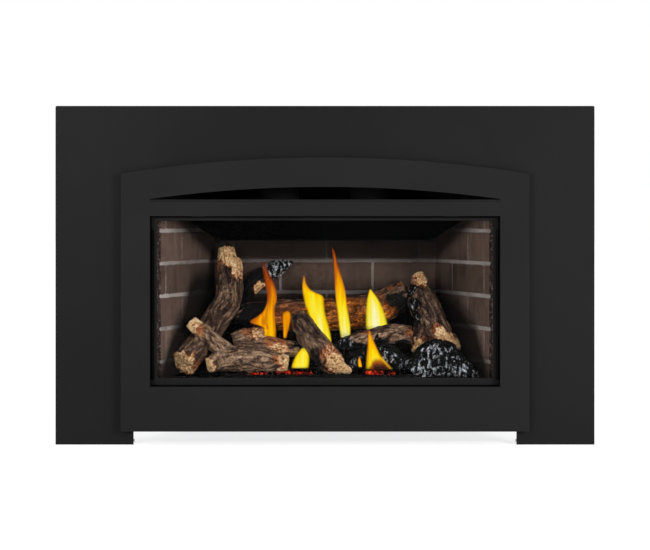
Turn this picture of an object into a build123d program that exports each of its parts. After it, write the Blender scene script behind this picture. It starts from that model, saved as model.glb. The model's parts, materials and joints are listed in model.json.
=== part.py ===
"""Gas fireplace insert: surround, lift-off front, glass door, firebox with logs, controls and fan.

Millimetres, +Z up. While modelling, y = 0 is the wall that the surround lies on, the room is at
-Y and the chimney at +Y. x = 0 is the middle and z = 0 the hearth. The last lines move
everything along Y so that the origin is the middle of the footprint.
"""
from build123d import *
import math
import os
import random

os.makedirs("parts", exist_ok=True)

# ---------------------------------------------------------------- driving dimensions
sheet = 1.5                 # steel of surround, casing and firebox
gap = 0.3                   # clearance between pieces that part from each other
shaft_play = 0.05           # radial clearance of a shaft in its hole
through = 12                # half-length of a cutter that goes right through a sheet

# the view of the fire and the glass door round it
window_half = 333
window_bottom = 131
window_top = 443.6
door_face = 22              # front of the door's lip, off the wall
door_skin = 2
door_depth = 10             # lip face to gasket seat
lip = 5                     # raised lip round the glass
side_ledge = 5.5            # ledge outside the lip
ledge_setback = 8           # the ledge lies this far behind the lip's face
door_sill = 13              # from the window down to the door's lower edge
door_head = 7               # from the window up to the door's upper edge
corner_tab_top = 25         # height of the tabs at the door's upper corners
corner_tab_bottom = 6
glass_thickness = 5
retainer_inset = 1          # retainer's inner edge, outside the window's edge
gasket_width = 6
gasket_inset = 1
gasket_round = 2.4
hinge_pin_radius = 2
hinge_behind_face = 3       # pin axis behind the lip's face
hinge_above_bottom = 3
hinge_pin_in_door = 9
hinge_ear = 3
hinge_ear_half = 8
hinge_ear_nose = 5          # the ear reaches this far in front of the pin's axis
catch_x = 240
catch_width = 24
catch_sheet = 0.9
catch_lift = 0.8            # clearance above the door's upper edge
catch_height = 16
catch_setback = 2

# lift-off front
front_proud = 45            # the faceplate's face stands this far off the wall
plate = 2.5                 # faceplate steel
front_bottom = 28
door_room_side = 1.5        # from the door's edges to the opening in the faceplate
door_room_top = 1.7
door_room_bottom = 2
side_band = 57.6            # from that opening to the faceplate's sides
slot_header = 28.7          # rail between that opening and the hot-air slot
slot_end = 5                # height of the crescent slot at its ends
slot_rise = 24
shoulder_band = 51          # from the slot's ends up to where the front's arch starts
crown_band = 58.6           # from the slot's crown up to the front's
front_edge_radius = 1.2
opening_turn_in = 12        # flange turned back round the door opening
slot_bead = 2.5             # radius of the rolled lower lip
bead_bite = 0.7             # how far the lip is sunk into the rail below it
magnet_radius = 8
magnet_inset = 14.6         # magnets from the faceplate's sides
magnet_heights = (150, 440)
rest_x = 215                # ledges that the front hangs on
rest_width = 50
rest_sheet = 2
rest_tab = 20

# surround
surround_width = 1067       # a 42 inch surround
surround_height = 670.5
surround_depth = 24         # its face stands this far off the wall
surround_corner = 3
cutout_side = 34            # the surround is cut away this far beyond the door opening
cutout_above_slot = 6
bracket_heights = (120, 300, 480)
bracket_height = 26
bracket_reach = 30          # ear on the back of the surround
bracket_leg = 40            # leg along the casing
bracket_screw_y = 25

# casing
casing_play = 13            # from the cut-out's edges to the casing's sides
casing_below_cutout = 2.5
casing_front = 20           # the casing stands this far off the wall, into the room
casing_taper_start = 110
casing_depth = 372          # back of the casing behind the wall plane
casing_back_room = 48       # from the back liner's ends to the casing's back corners
casing_bottom = 28
casing_flange = 14
screw_radius = 2
screw_head = 4.5
screw_head_height = 2.8
casing_screw = 9
bracket_screw = 7
side_screw_ys = (5, 85)
taper_screw_ys = (190, 320)
foot_radius = 14
foot_height = 5
bolt_radius = 5
bolt_above_seat = 14
nut_radius = 9
nut_height = 8
front_foot_side = 30        # front levelling bolts outside the casing's sides
front_foot_y = 25
rear_foot_inset = 50
rear_foot_from_back = 32
bracket_plate = 3
levelling_half = 16
levelling_wall = 45

# firebox and liner
frame_thickness = 3         # sealing frame between door and firebox
frame_overlap = 3           # how far its opening clears the window
frame_below_floor = 14
duct_height = 36            # warm-air duct over the firebox
floor_below_window = 11
liner_beside_window = 5     # the side liners' front edges show this far inside the window
liner_taper = 91            # each side liner comes in this far towards the back
brick_front_y = 5
brick_back_y = 270
brick_thickness = 20
brick_play = 1              # between the liner and the steel behind it
mortar_width = 7.5
mortar_depth = 2.5
side_course = 65.4
side_first_bed = 41.2       # lowest mortar bed of the side liners, above the firebox floor
side_brick_length = 163
side_joint_y = 108          # depth of an upright joint in the odd courses
back_course = 67.7
back_first_bed = 34.3
back_brick_length = 197.5
back_joint = 3.5            # an upright joint of the odd courses, off the middle
back_panel_gap = 7          # from the back liner's upper edge to the baffle
baffle_sheet = 2
baffle_front_drop = 4.5     # baffle's front edge under the firebox's top
baffle_fall = 67            # its back edge is this much lower
baffle_front_y = 18
support_x = 250
support_front_y = 105
support_back_y = 260
support_flange = 20
clip_inset = 12
clip_width = 9
clip_height = 12
clip_sheet = 2
clip_stud = 2.2

# flue collars
collar_radius = 38          # 3 inch flue
collar_shoulder = 3         # the collar is this much wider below its shoulder
shoulder_above_casing = 2
collar_flange = 17
collar_x = 95
collar_y = 190
collar_above_casing = 40.5

# burner
tray_height = 8
tray_sheet = 2
tray_side_room = 6
tray_end_room = 8
deck_height = 5             # raised burner deck above the tray
deck_from_liner = 32        # burner deck's ends from the back liner's ends
deck_front_y = 34
deck_from_back = 55
deck_corner = 18
deck_wall = 22
port_inset = 30
port_length = 18            # slits that the gas burns from
port_width = 2
port_count = 9
mixing_x = -150
mixing_y = 125
mixing_radius = 15
mixing_mouth = 16           # bell mouth above the manifold's axis
bell_flare = 6
bell_height = 10
pilot_x = 60
pilot_y = 228
pilot_half = 30
pilot_height = 30
hood_radius = 9
hood_height = 12
electrode_x = 20
electrode_radius = 1.5
sleeve_radius = 3.5
sleeve_height = 22
rail_from_deck_back = 19    # cradle that the rear log lies on
rail_half = 165
rail_width = 24
rail_height = 79
rail_sheet = 3
rail_web = 15
rail_foot = 20
ember_strips = ((-162, -24), (80, 148))     # left and right of the leaning log's foot
ember_pad = 3
ember_bed_width = 16
ember_from_deck_front = 11
ember_pitch = 12
ember_wander = 2.5          # the lumps lie this far off their row at most
ember_smallest = 8
ember_largest = 13
log_set_front_half = 328    # half-widths of the liner that the log stations are written for
log_set_back_half = 237

# controls
panel_y = 2                 # control panel, behind the faceplate's lower band
panel_half = 160
panel_below_floor = 18
panel_foot = 40
knob_above_base = 40
gas_knob_x = -95
flame_knob_x = -40
igniter_x = 20
switch_x = 85
stem_radius = 3
stem_length = 14
stem_room = 2
gas_knob_radius = 18
flame_knob_radius = 13
knob_length = 20
knob_skirt = 6
knob_sides = 12
pointer_half = 1.2
valve_depth = 48
valve_side = 22
valve_below = 26
valve_above = 24
valve_corner = 5
button_barrel_radius = 11
button_barrel_length = 26
button_radius = 7
button_length = 12
button_play = 0.15
button_travel = 4
button_proud = 6
bezel = 2
switch_half_w = 11
switch_half_h = 15
switch_depth = 22
switch_well = 14
rocker_half = 7.6
rocker_tall = 10.5
rocker_play = 0.4
rocker_well_play = 1.5
rocker_pin = 1.5
rocker_pin_length = 1.8
rocker_pin_y = 3            # behind the panel's face
rocker_slope = 1            # its ends stand this far back
gas_pipe_radius = 6
pipe_bend = 18
jet_radius = 9
jet_below = 8
jet_above = 14
outlet_x = 30               # valve outlet beside the gas knob's axis
inlet_y = 70
inlet_above_base = 32
inlet_bore = 9.3            # half-inch pipe thread
inlet_thread_length = 16
inlet_radius = 13
inlet_out = 26              # the socket reaches this far out of the casing
inlet_stop = 2
lever_inside = 81           # shut-off lever inside the casing's side
shutoff_half = 14
shutoff_block = 12
shutoff_neck = 16
shutoff_neck_radius = 7
shutoff_stem = 28
lever_hub = 8
lever_thickness = 3
lever_depth = 9
lever_length = 48
lever_half = 5
lever_corner = 3
tail_bend = 12
tail_offset = 8

# convection fan
fan_from_back = 56
fan_above_base = 46
fan_radius = 26
fan_length = 260
fan_blades = 24
blade_chord = 8
blade_thickness = 0.8
blade_hollow = 1.6          # how far a blade bows
blade_sweep = 1.4           # how far its tip leans forward
fan_disc = 2
fan_shaft_radius = 4
fan_side_room = 4
shaft_past_housing = 6
shaft_in_motor = 16
motor_bore_room = 1         # the motor's bore goes this far beyond the shaft's end
housing_clear = 8
housing_sheet = 1.2
housing_half_depth = 38
housing_under_floor = 8.5
motor_radius = 27
motor_length = 48
motor_corner = 4

# ---------------------------------------------------------------- derived planes
door_half = window_half + lip + side_ledge
door_bottom = window_bottom - door_sill
door_top = window_top + door_head
door_y = -door_face
seal_y = door_y + door_depth            # back of the door's ledge, where the gasket seats
glass_back = door_y + door_skin + glass_thickness
seal_frame_y = -frame_thickness
hinge_y = door_y + hinge_behind_face
hinge_z = door_bottom + hinge_above_bottom

opening_half = door_half + door_room_side
opening_bottom = door_bottom - door_room_bottom
opening_top = door_top + door_room_top
slot_bottom = opening_top + slot_header
slot_tip = slot_bottom + slot_end
slot_crown = slot_tip + slot_rise
face_y = -front_proud
front_half = opening_half + side_band
front_shoulder = slot_tip + shoulder_band
front_crown = slot_crown + crown_band

surround_y = -surround_depth
cutout_half = opening_half + cutout_side
cutout_height = slot_crown + cutout_above_slot

casing_half = cutout_half - casing_play
casing_top_z = cutout_height - casing_below_cutout
casing_roof = casing_top_z - sheet
base_top = casing_bottom + sheet

brick_front_half = window_half - liner_beside_window
brick_back_half = brick_front_half - liner_taper
casing_back_half = brick_back_half + casing_back_room
firebox_top_z = casing_top_z - duct_height
firebox_roof = firebox_top_z - sheet
firebox_floor_z = window_bottom - floor_below_window
firebox_back_y = brick_back_y + brick_thickness + brick_play
splay = liner_taper / (brick_back_y - brick_front_y)
splay_cos = math.cos(math.atan(splay))
splay_angle = math.degrees(math.atan(splay))
baffle_front_z = firebox_top_z - baffle_front_drop
baffle_back_z = baffle_front_z - baffle_fall
baffle_slope = baffle_fall / (brick_back_y - baffle_front_y)

tray_top = firebox_floor_z + tray_height
deck_top = tray_top + deck_height
deck_half = brick_back_half - deck_from_liner
deck_back_y = brick_back_y - deck_from_back
rail_y = deck_back_y - rail_from_deck_back
rail_top = deck_top + rail_height

front_foot_x = casing_half + front_foot_side
rear_foot_x = casing_back_half - rear_foot_inset
rear_foot_y = casing_depth - rear_foot_from_back
shoulder_z = casing_top_z + shoulder_above_casing
collar_top = casing_top_z + collar_above_casing

knob_z = casing_bottom + knob_above_base
panel_top = firebox_floor_z - panel_below_floor
panel_back = panel_y + sheet
valve_back = panel_back + valve_depth
rocker_y = panel_y + rocker_pin_y
inlet_z = casing_bottom + inlet_above_base
lever_turn_x = lever_inside - casing_half

fan_y = casing_depth - fan_from_back
fan_z = casing_bottom + fan_above_base
housing_half = fan_length / 2 + fan_side_room
housing_end = housing_half + housing_sheet
housing_top = firebox_floor_z - sheet - housing_under_floor


# ---------------------------------------------------------------- shapes used throughout
def slab(x0, x1, y0, y1, z0, z1):
    """Box between two corners."""
    middle = Pos((x0 + x1) / 2, (y0 + y1) / 2, (z0 + z1) / 2)
    return middle * Box(abs(x1 - x0), y1 - y0, z1 - z0)


def rod(radius, start, end):
    """Round bar from one point to another."""
    along = Vector(*end) - Vector(*start)
    return Plane(Vector(*start), z_dir=along) * extrude(Circle(radius), along.length)


def rod_x(radius, x0, x1, y, z):
    """Round bar along X."""
    return rod(radius, (x0, y, z), (x1, y, z))


def rod_y(radius, x, y0, y1, z):
    """Round bar along Y."""
    return rod(radius, (x, y0, z), (x, y1, z))


def drill(radius, x, y, z):
    """Cutter for an upright hole in the sheet at height z."""
    return Pos(x, y, z) * Cylinder(radius, 2 * through)


def both_sides(shape):
    """The shape and its mirror image across the middle."""
    return Compound([shape, mirror(shape, Plane.YZ)])


def group(shapes):
    """Separate solids kept together as one sub-part."""
    return Compound([solid for shape in shapes for solid in shape.solids()])


def upright(face, y_front, depth):
    """Extrude an X-Z outline from y_front towards the chimney."""
    return extrude(Plane.XZ.offset(-y_front) * face, -depth)


def frame_ring(half, bottom, top, inner_half, inner_bottom, inner_top, y_front, depth):
    """Rectangular ring standing in the X-Z plane."""
    outer = slab(-half, half, y_front, y_front + depth, bottom, top)
    return outer - slab(-inner_half, inner_half, y_front - through, y_front + depth + through,
                        inner_bottom, inner_top)


def mirrored_plan(points):
    """Plan outline from the points of its +X side, front to back, and their mirror images."""
    return make_face(Polyline(*points, *[(-x, y) for x, y in reversed(points)], close=True))


def bent_plan(points, thickness):
    """Plan of a bent sheet: the points are its outer face, the metal lies to their left."""
    inner = []
    for i, (x, y) in enumerate(points):
        before = points[max(i - 1, 0)]
        after = points[min(i + 1, len(points) - 1)]
        normals = []
        for a, b in ((before, (x, y)), ((x, y), after)):
            run = math.hypot(b[0] - a[0], b[1] - a[1])
            if run > 0:
                normals.append((-(b[1] - a[1]) / run, (b[0] - a[0]) / run))
        nx = sum(n[0] for n in normals)
        ny = sum(n[1] for n in normals)
        reach = thickness * len(normals) / (nx * nx + ny * ny)
        inner.append((x + nx * reach, y + ny * reach))
    return make_face(Polyline(*points, *reversed(inner), close=True))


def bent_sheet(points, thickness, z0, z1):
    """Upright bent sheet between two heights."""
    return Pos(0, 0, z0) * extrude(bent_plan(points, thickness), z1 - z0)


# ---------------------------------------------------------------- surround
def surround_panel():
    """Three-sided panel with its edges turned back to the wall."""
    outline = Pos(0, surround_height / 2) * Rectangle(surround_width, surround_height)
    upper = outline.vertices().sort_by(Axis.Y)[-2:]
    outline = fillet(upper, surround_corner)
    outline -= Pos(0, cutout_height / 2) * Rectangle(2 * cutout_half, cutout_height)
    skin = upright(outline, surround_y, sheet)
    inside = offset(outline, -sheet, kind=Kind.INTERSECTION)
    rim = upright(outline - inside, surround_y, surround_depth)
    throat_half = cutout_half + 2 * sheet
    rim -= slab(-throat_half, throat_half, surround_y + sheet, sheet, sheet, cutout_height + 2 * sheet)
    rim -= slab(-throat_half, throat_half, surround_y + sheet, sheet, -sheet, cutout_height)
    return skin + rim


def surround_screw_places():
    y = surround_y + sheet + bracket_screw_y
    return [(casing_half, y, z + bracket_height / 2) for z in bracket_heights]


def surround_brackets():
    """Angle brackets between the surround's back and the casing's sides."""
    back = surround_y + sheet
    pieces = []
    for x, y, z in surround_screw_places():
        low = z - bracket_height / 2
        high = z + bracket_height / 2
        ear = slab(casing_half, cutout_half + bracket_reach, back, back + sheet, low, high)
        leg = slab(casing_half, casing_half + sheet, back, back + bracket_leg, low, high)
        hole = rod_x(screw_radius + gap, x - through, x + through, y, z)
        pieces.append(both_sides(ear + leg - hole))
    return group(pieces)


def sheet_screw(length):
    """Hexagon-head screw, its seat at z = 0 and its shank below."""
    hexagon = extrude(RegularPolygon(screw_head, 6), screw_head_height)
    return hexagon + Pos(0, 0, -length) * extrude(Circle(screw_radius), length)


# ---------------------------------------------------------------- faceplate
def arch_outline(half, bottom, shoulder, crown):
    """Outline with upright sides and an arched top."""
    left = Line((-half, bottom), (-half, shoulder))
    arch = ThreePointArc((-half, shoulder), (0, crown), (half, shoulder))
    right = Line((half, shoulder), (half, bottom))
    base = Line((half, bottom), (-half, bottom))
    return make_face([left, arch, right, base])


def front_faceplate():
    """Arched tray-shaped front, open for the door and for the hot air."""
    depth = front_proud - surround_depth - gap
    outline = arch_outline(front_half, front_bottom, front_shoulder, front_crown)
    slot = arch_outline(opening_half, slot_bottom, slot_tip, slot_crown)
    middle = (opening_bottom + opening_top) / 2
    window = Pos(0, middle) * Rectangle(2 * opening_half, opening_top - opening_bottom)
    body = upright(outline, face_y, depth)
    front_edges = body.faces().sort_by(Axis.Y)[0].edges()
    body = fillet(front_edges, front_edge_radius)
    hollow = offset(outline, -plate, kind=Kind.INTERSECTION)
    body -= upright(hollow, face_y + plate, depth)
    body -= upright(slot + window, face_y - plate, 3 * plate)
    flange = offset(window, plate, kind=Kind.INTERSECTION) - window
    body += upright(flange, face_y + plate, opening_turn_in)
    bead_y = face_y + slot_bead + bead_bite / 2
    bead_z = slot_bottom + slot_bead - bead_bite
    bead_half = opening_half + bead_bite
    return body + rod_x(slot_bead, -bead_half, bead_half, bead_y, bead_z)


def front_magnets():
    """Magnets behind the faceplate, which hold it to the surround."""
    x = front_half - magnet_inset
    pucks = [rod_y(magnet_radius, x, face_y + plate, surround_y - gap, z) for z in magnet_heights]
    return both_sides(Compound(pucks))


def front_support_ledges():
    """Ledges on the sealing frame that the faceplate's turned-in flange rests on."""
    top = opening_bottom - plate - gap
    near = face_y + 2 * plate
    arm = slab(rest_x, rest_x + rest_width, near, seal_frame_y, top - rest_sheet, top)
    tab = slab(rest_x, rest_x + rest_width, seal_frame_y - rest_sheet, seal_frame_y, top - rest_tab, top)
    return both_sides(arm + tab)


# ---------------------------------------------------------------- casing
casing_side_points = [(casing_half, -casing_front), (casing_half, casing_taper_start),
                      (casing_back_half, casing_depth)]


def casing_screw_places():
    inset = casing_flange / 2 + sheet
    slope = (casing_half - casing_back_half) / (casing_depth - casing_taper_start)
    straight = [(casing_half - inset, y) for y in side_screw_ys]
    tapered = [(casing_half - inset - sheet - slope * (y - casing_taper_start), y) for y in taper_screw_ys]
    return straight + tapered


def casing_base():
    base = Pos(0, 0, casing_bottom) * extrude(mirrored_plan(casing_side_points), sheet)
    for side in (-1, 1):
        base -= drill(bolt_radius + shaft_play, side * rear_foot_x, rear_foot_y, casing_bottom)
    return base


def levelling_bracket():
    """Angle bracket welded to the casing's side, which carries the front levelling bolt."""
    near = front_foot_y - levelling_half
    far = front_foot_y + levelling_half
    shelf = slab(casing_half, front_foot_x + foot_radius, near, far,
                 casing_bottom, casing_bottom + bracket_plate)
    wall = slab(casing_half, casing_half + bracket_plate, near, far,
                casing_bottom, casing_bottom + levelling_wall)
    return shelf + wall - drill(bolt_radius + shaft_play, front_foot_x, front_foot_y, casing_bottom)


def casing_right_side():
    """Bent side wall with a flange under the roof and the levelling bracket."""
    wall = bent_sheet(casing_side_points, sheet, base_top, casing_roof)
    flange = bent_sheet(casing_side_points, casing_flange, casing_roof - sheet, casing_roof)
    room = slab(0, casing_half, -casing_front, casing_depth - sheet, base_top, casing_roof)
    body = (wall + flange) & room
    body += levelling_bracket()
    for x, y in casing_screw_places():
        body -= drill(screw_radius + gap, x, y, casing_roof)
    for x, y, z in surround_screw_places():
        body -= rod_x(screw_radius + gap, x - through, x + through, y, z)
    return body


def casing_left_side():
    """The same wall on the other side, with a hole for the gas pipe."""
    hole = rod_x(gas_pipe_radius + gap, -casing_half - through, -casing_half + through, inlet_y, inlet_z)
    return mirror(casing_right_side(), Plane.YZ) - hole


def casing_back():
    half = casing_back_half
    return slab(-half, half, casing_depth - sheet, casing_depth, base_top, casing_roof)


def casing_top():
    top = Pos(0, 0, casing_roof) * extrude(mirrored_plan(casing_side_points), sheet)
    for side in (-1, 1):
        top -= drill(collar_radius + collar_shoulder + gap, side * collar_x, collar_y, casing_roof)
        for x, y in casing_screw_places():
            top -= drill(screw_radius + gap, side * x, y, casing_roof)
    return top


def cabinet_screws():
    """The screws of the casing's top and of the surround's brackets."""
    pieces = [Pos(x, y, casing_top_z) * sheet_screw(casing_screw) for x, y in casing_screw_places()]
    for x, y, z in surround_screw_places():
        pieces.append(Pos(x + sheet, y, z) * Rot(0, 90, 0) * sheet_screw(bracket_screw))
    return group([both_sides(piece) for piece in pieces])


def levelling_bolts():
    """Hexagon-headed bolts that stand on the hearth, each with its nut."""
    pieces = []
    for x, y, seat in ((front_foot_x, front_foot_y, casing_bottom + bracket_plate),
                       (rear_foot_x, rear_foot_y, base_top)):
        foot = Pos(x, y, 0) * extrude(RegularPolygon(foot_radius, 6), foot_height)
        shank = Pos(x, y, foot_height) * extrude(Circle(bolt_radius), seat + bolt_above_seat - foot_height)
        nut = Pos(x, y, seat) * extrude(RegularPolygon(nut_radius, 6), nut_height)
        pieces.append(both_sides(foot + shank + nut))
    return group(pieces)


# ---------------------------------------------------------------- firebox steel
def liner_half(y):
    """Half-width between the fire-side faces of the side liners."""
    return brick_front_half - splay * (y - brick_front_y)


def log_room(y):
    """Width of the liner at a depth, as a share of the one that the log stations are written for."""
    inward = (log_set_front_half - log_set_back_half) / (brick_back_y - brick_front_y)
    return liner_half(y) / (log_set_front_half - inward * (y - brick_front_y))


def steel_half(y):
    """Half-width between the inner faces of the firebox's side walls."""
    return liner_half(y) + (brick_thickness + brick_play) / splay_cos


firebox_rear_half = steel_half(firebox_back_y) + sheet / splay_cos


def firebox_plan():
    front = steel_half(0) + sheet / splay_cos
    return mirrored_plan([(front, 0), (firebox_rear_half, firebox_back_y),
                          (firebox_rear_half, firebox_back_y + sheet)])


def firebox_floor():
    floor = Pos(0, 0, firebox_floor_z - sheet) * extrude(firebox_plan(), sheet)
    return floor - drill(mixing_radius + gap, mixing_x, mixing_y, firebox_floor_z)


def firebox_top():
    top = Pos(0, 0, firebox_roof) * extrude(firebox_plan(), sheet)
    for side in (-1, 1):
        top -= drill(collar_radius - sheet, side * collar_x, collar_y, firebox_roof)
    return top


def firebox_right_wall():
    near = steel_half(0)
    far = steel_half(firebox_back_y)
    slant = sheet / splay_cos
    plan = Polyline((near, 0), (near + slant, 0), (far + slant, firebox_back_y),
                    (far, firebox_back_y), close=True)
    return Pos(0, 0, firebox_floor_z) * extrude(make_face(plan), firebox_roof - firebox_floor_z)


def firebox_back_wall():
    return slab(-firebox_rear_half, firebox_rear_half, firebox_back_y, firebox_back_y + sheet,
                firebox_floor_z, firebox_roof)


def firebox_front_frame():
    """Sealing frame that the door's gasket presses on."""
    return frame_ring(casing_half - sheet, firebox_floor_z - frame_below_floor, firebox_top_z,
                      window_half + frame_overlap, window_bottom - frame_overlap,
                      window_top + frame_overlap, seal_frame_y, frame_thickness)


def firebox_supports():
    """Channels between the casing's base and the firebox floor."""
    top = firebox_floor_z - sheet
    edge = support_x + support_flange
    web = slab(support_x, support_x + sheet, support_front_y, support_back_y, base_top, top)
    foot = slab(support_x, edge, support_front_y, support_back_y, base_top, base_top + sheet)
    upper = slab(support_x, edge, support_front_y, support_back_y, top - sheet, top)
    return both_sides(web + foot + upper)


def ceiling_baffle():
    """Sloping plate over the fire, higher at the front."""
    far = firebox_back_y - brick_thickness / 4
    far_z = baffle_back_z - baffle_slope * (far - brick_back_y)
    side = Plane.YZ * make_face(Polyline(
        (baffle_front_y, baffle_front_z), (baffle_front_y, baffle_front_z + baffle_sheet),
        (far, far_z + baffle_sheet), (far, far_z), close=True))
    rear_half = brick_back_half - brick_play
    plan = mirrored_plan([(liner_half(baffle_front_y) - brick_play, baffle_front_y),
                          (rear_half, brick_back_y), (rear_half, far)])
    return extrude(side, brick_front_half, both=True) & extrude(plan, firebox_top_z)


def flue_collar(side):
    """Flue spigot turned in one piece: flange on the firebox, shoulder over the casing, 3 inch end."""
    wide = collar_radius + collar_shoulder
    profile = Polyline(
        (collar_radius, collar_top), (collar_radius, shoulder_z), (wide, shoulder_z),
        (wide, firebox_top_z + sheet), (wide + collar_flange, firebox_top_z + sheet),
        (wide + collar_flange, firebox_top_z), (wide - sheet, firebox_top_z),
        (wide - sheet, shoulder_z - sheet), (collar_radius - sheet, shoulder_z - sheet),
        (collar_radius - sheet, collar_top), close=True)
    return Pos(side * collar_x, collar_y, 0) * revolve(Plane.XZ * make_face(profile), Axis.Z)


# ---------------------------------------------------------------- brick-pattern liner
def brick_panel(length, height, first_bed, course, first_joint, brick_length):
    """Flat liner panel: face at y = 0 towards -Y, mortar grooves cut into it."""
    panel = slab(0, length, 0, brick_thickness, 0, height)
    half = mortar_width / 2
    cuts = []
    for row in range(-1, int(height / course) + 1):
        z = first_bed + row * course
        if z + course < half or z > height - half:
            continue
        cuts.append(slab(-half, length + half, -half, mortar_depth, z - half, z + half))
        start = first_joint - brick_length * ((row + 1) % 2) / 2
        across = int(length / brick_length) + 1
        for x in [start + k * brick_length for k in range(-across, across + 1)]:
            if mortar_width < x < length - mortar_width:
                cuts.append(slab(x - half, x + half, -half, mortar_depth, z, z + course))
    return panel - cuts


def brick_panel_left():
    """Slanting side liner, its ends cut square with the front and the back liner."""
    run = (brick_back_y - brick_front_y) / splay_cos
    spare = brick_thickness
    along = (side_joint_y - brick_front_y) / splay_cos
    panel = brick_panel(run + 2 * spare, firebox_roof - firebox_floor_z - brick_play, side_first_bed,
                        side_course, along + spare, side_brick_length)
    turned = Rot(0, 0, 90 - splay_angle) * Pos(-spare, 0, 0) * panel
    placed = Pos(-brick_front_half, brick_front_y, firebox_floor_z) * turned
    return placed & slab(-casing_half, 0, brick_front_y, brick_back_y - gap, 0, firebox_roof)


def brick_panel_back():
    half = steel_half(brick_back_y + brick_thickness) - brick_play
    height = baffle_back_z - firebox_floor_z - back_panel_gap
    panel = brick_panel(2 * half, height, back_first_bed, back_course, half + back_joint, back_brick_length)
    return Pos(-half, brick_back_y, firebox_floor_z) * panel


def brick_clips():
    """Small angle clips that hang from the baffle in front of the back panel."""
    x = brick_back_half - clip_inset
    back = brick_back_y - brick_play
    under = baffle_back_z + baffle_slope * brick_play - gap
    tab = slab(x, x + clip_width, back - clip_sheet, back, under - clip_height, under)
    middle = x + clip_width / 2
    stud_z = under - clip_height / 2 - brick_play
    stud = rod_y(clip_stud, middle, back - 2 * clip_sheet, back - clip_sheet, stud_z)
    return both_sides(tab + stud)


# ---------------------------------------------------------------- door
def door_frame():
    """Door with a raised lip round the glass and a ledge outside it, bored for the hinge pins."""
    lip_half = window_half + lip
    lip_bottom = window_bottom - lip
    lip_top = window_top + lip
    inner = (lip_half - door_skin, lip_bottom + door_skin, lip_top - door_skin)
    front = frame_ring(lip_half, door_bottom, lip_top, window_half, window_bottom, window_top,
                       door_y, door_skin)
    step = frame_ring(lip_half, lip_bottom, lip_top, *inner, door_y, door_depth)
    ledge = frame_ring(door_half, door_bottom, door_top, *inner, door_y + ledge_setback,
                       door_depth - ledge_setback)
    rail = slab(-door_half, door_half, door_y, seal_y, door_bottom, lip_bottom + door_skin)
    tabs = []
    for side in (-1, 1):
        near, far = sorted((side * (lip_half - door_skin / 2), side * door_half))
        tabs.append(slab(near, far, door_y, seal_y, door_top - corner_tab_top, door_top))
        tabs.append(slab(near, far, door_y, seal_y, door_bottom, door_bottom + corner_tab_bottom))
    body = front + step + ledge + rail + tabs
    bore_end = door_half - hinge_pin_in_door - gap
    bore = rod_x(hinge_pin_radius + shaft_play, bore_end, door_half + through, hinge_y, hinge_z)
    return body - both_sides(bore)


def door_glass():
    room = lip - door_skin - gap
    return slab(-window_half - room, window_half + room, door_y + door_skin, glass_back,
                window_bottom - room, window_top + room)


def glass_retainer():
    """Frame that presses the glass against the lip."""
    seat = lip - door_skin
    return frame_ring(window_half + seat, window_bottom - seat, window_top + seat,
                      window_half + retainer_inset, window_bottom - retainer_inset,
                      window_top + retainer_inset, glass_back, seal_y - glass_back)


def door_gasket():
    inner = window_half + gasket_inset
    low = window_bottom - gasket_inset
    high = window_top + gasket_inset
    ring = frame_ring(inner + gasket_width, low - gasket_width, high + gasket_width,
                      inner, low, high, seal_y, seal_frame_y - gap - seal_y)
    back_edges = ring.faces().sort_by(Axis.Y)[-1].edges()
    return fillet(back_edges, gasket_round)


def door_hinge_pins():
    """Ears on the sealing frame with the pins that the door turns on."""
    near = door_half + gap
    ear = slab(near, near + hinge_ear, hinge_y - hinge_ear_nose, seal_frame_y,
               hinge_z - hinge_ear_half, hinge_z + hinge_ear_half)
    pin = rod_x(hinge_pin_radius, door_half - hinge_pin_in_door, near + hinge_ear / 2, hinge_y, hinge_z)
    return both_sides(ear + pin)


def door_catches():
    """Spring-steel clips over the door's upper edge."""
    under = door_top + catch_lift
    arm = slab(catch_x, catch_x + catch_width, door_y + catch_setback, seal_frame_y,
               under, under + catch_sheet)
    back = slab(catch_x, catch_x + catch_width, seal_frame_y - catch_sheet, seal_frame_y,
                under, under + catch_height)
    return both_sides(arm + back)


# ---------------------------------------------------------------- burner
def burner_tray():
    """Shallow pan with a raised hollow deck, slit for the flames."""
    front_y = deck_front_y - tray_end_room
    back_y = brick_back_y - tray_end_room
    plan = mirrored_plan([(liner_half(front_y) - tray_side_room, front_y),
                          (liner_half(back_y) - tray_side_room, back_y)])
    pan = Pos(0, 0, firebox_floor_z) * extrude(plan, tray_height)
    inside = offset(plan, -tray_sheet, kind=Kind.INTERSECTION)
    pan -= Pos(0, 0, firebox_floor_z - tray_sheet) * extrude(inside, tray_height)
    middle_y = (deck_front_y + deck_back_y) / 2
    deck_depth = deck_back_y - deck_front_y
    deck = extrude(Rectangle(2 * deck_half, deck_depth), deck_height + tray_sheet)
    deck = chamfer(deck.edges().filter_by(Axis.Z), deck_corner)
    room = Rectangle(2 * (deck_half - deck_wall), deck_depth - 2 * deck_wall)
    body = pan + Pos(0, middle_y, tray_top - tray_sheet) * deck
    body -= Pos(0, middle_y, firebox_floor_z - tray_sheet) * extrude(room, tray_height + deck_height)
    pitch = 2 * (deck_half - port_inset) / (port_count - 1)
    for row_y in (deck_front_y + port_inset, deck_back_y - port_inset):
        for i in range(port_count):
            x = -deck_half + port_inset + i * pitch
            body -= Pos(x, row_y, deck_top) * Box(port_length, port_width, 3 * tray_sheet)
    return body


def mixing_tube():
    """Tube that brings gas and air up into the burner, with its bell mouth below."""
    low = knob_z + mixing_mouth
    high = tray_top - tray_sheet - sheet / 2
    outer = mixing_radius
    inner = mixing_radius - sheet
    wall = Polyline((outer, high), (outer, low + bell_height), (outer + bell_flare, low),
                    (inner + bell_flare, low), (inner, low + bell_height), (inner, high), close=True)
    return Pos(mixing_x, mixing_y, 0) * revolve(Plane.XZ * make_face(wall), Axis.Z)


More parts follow.
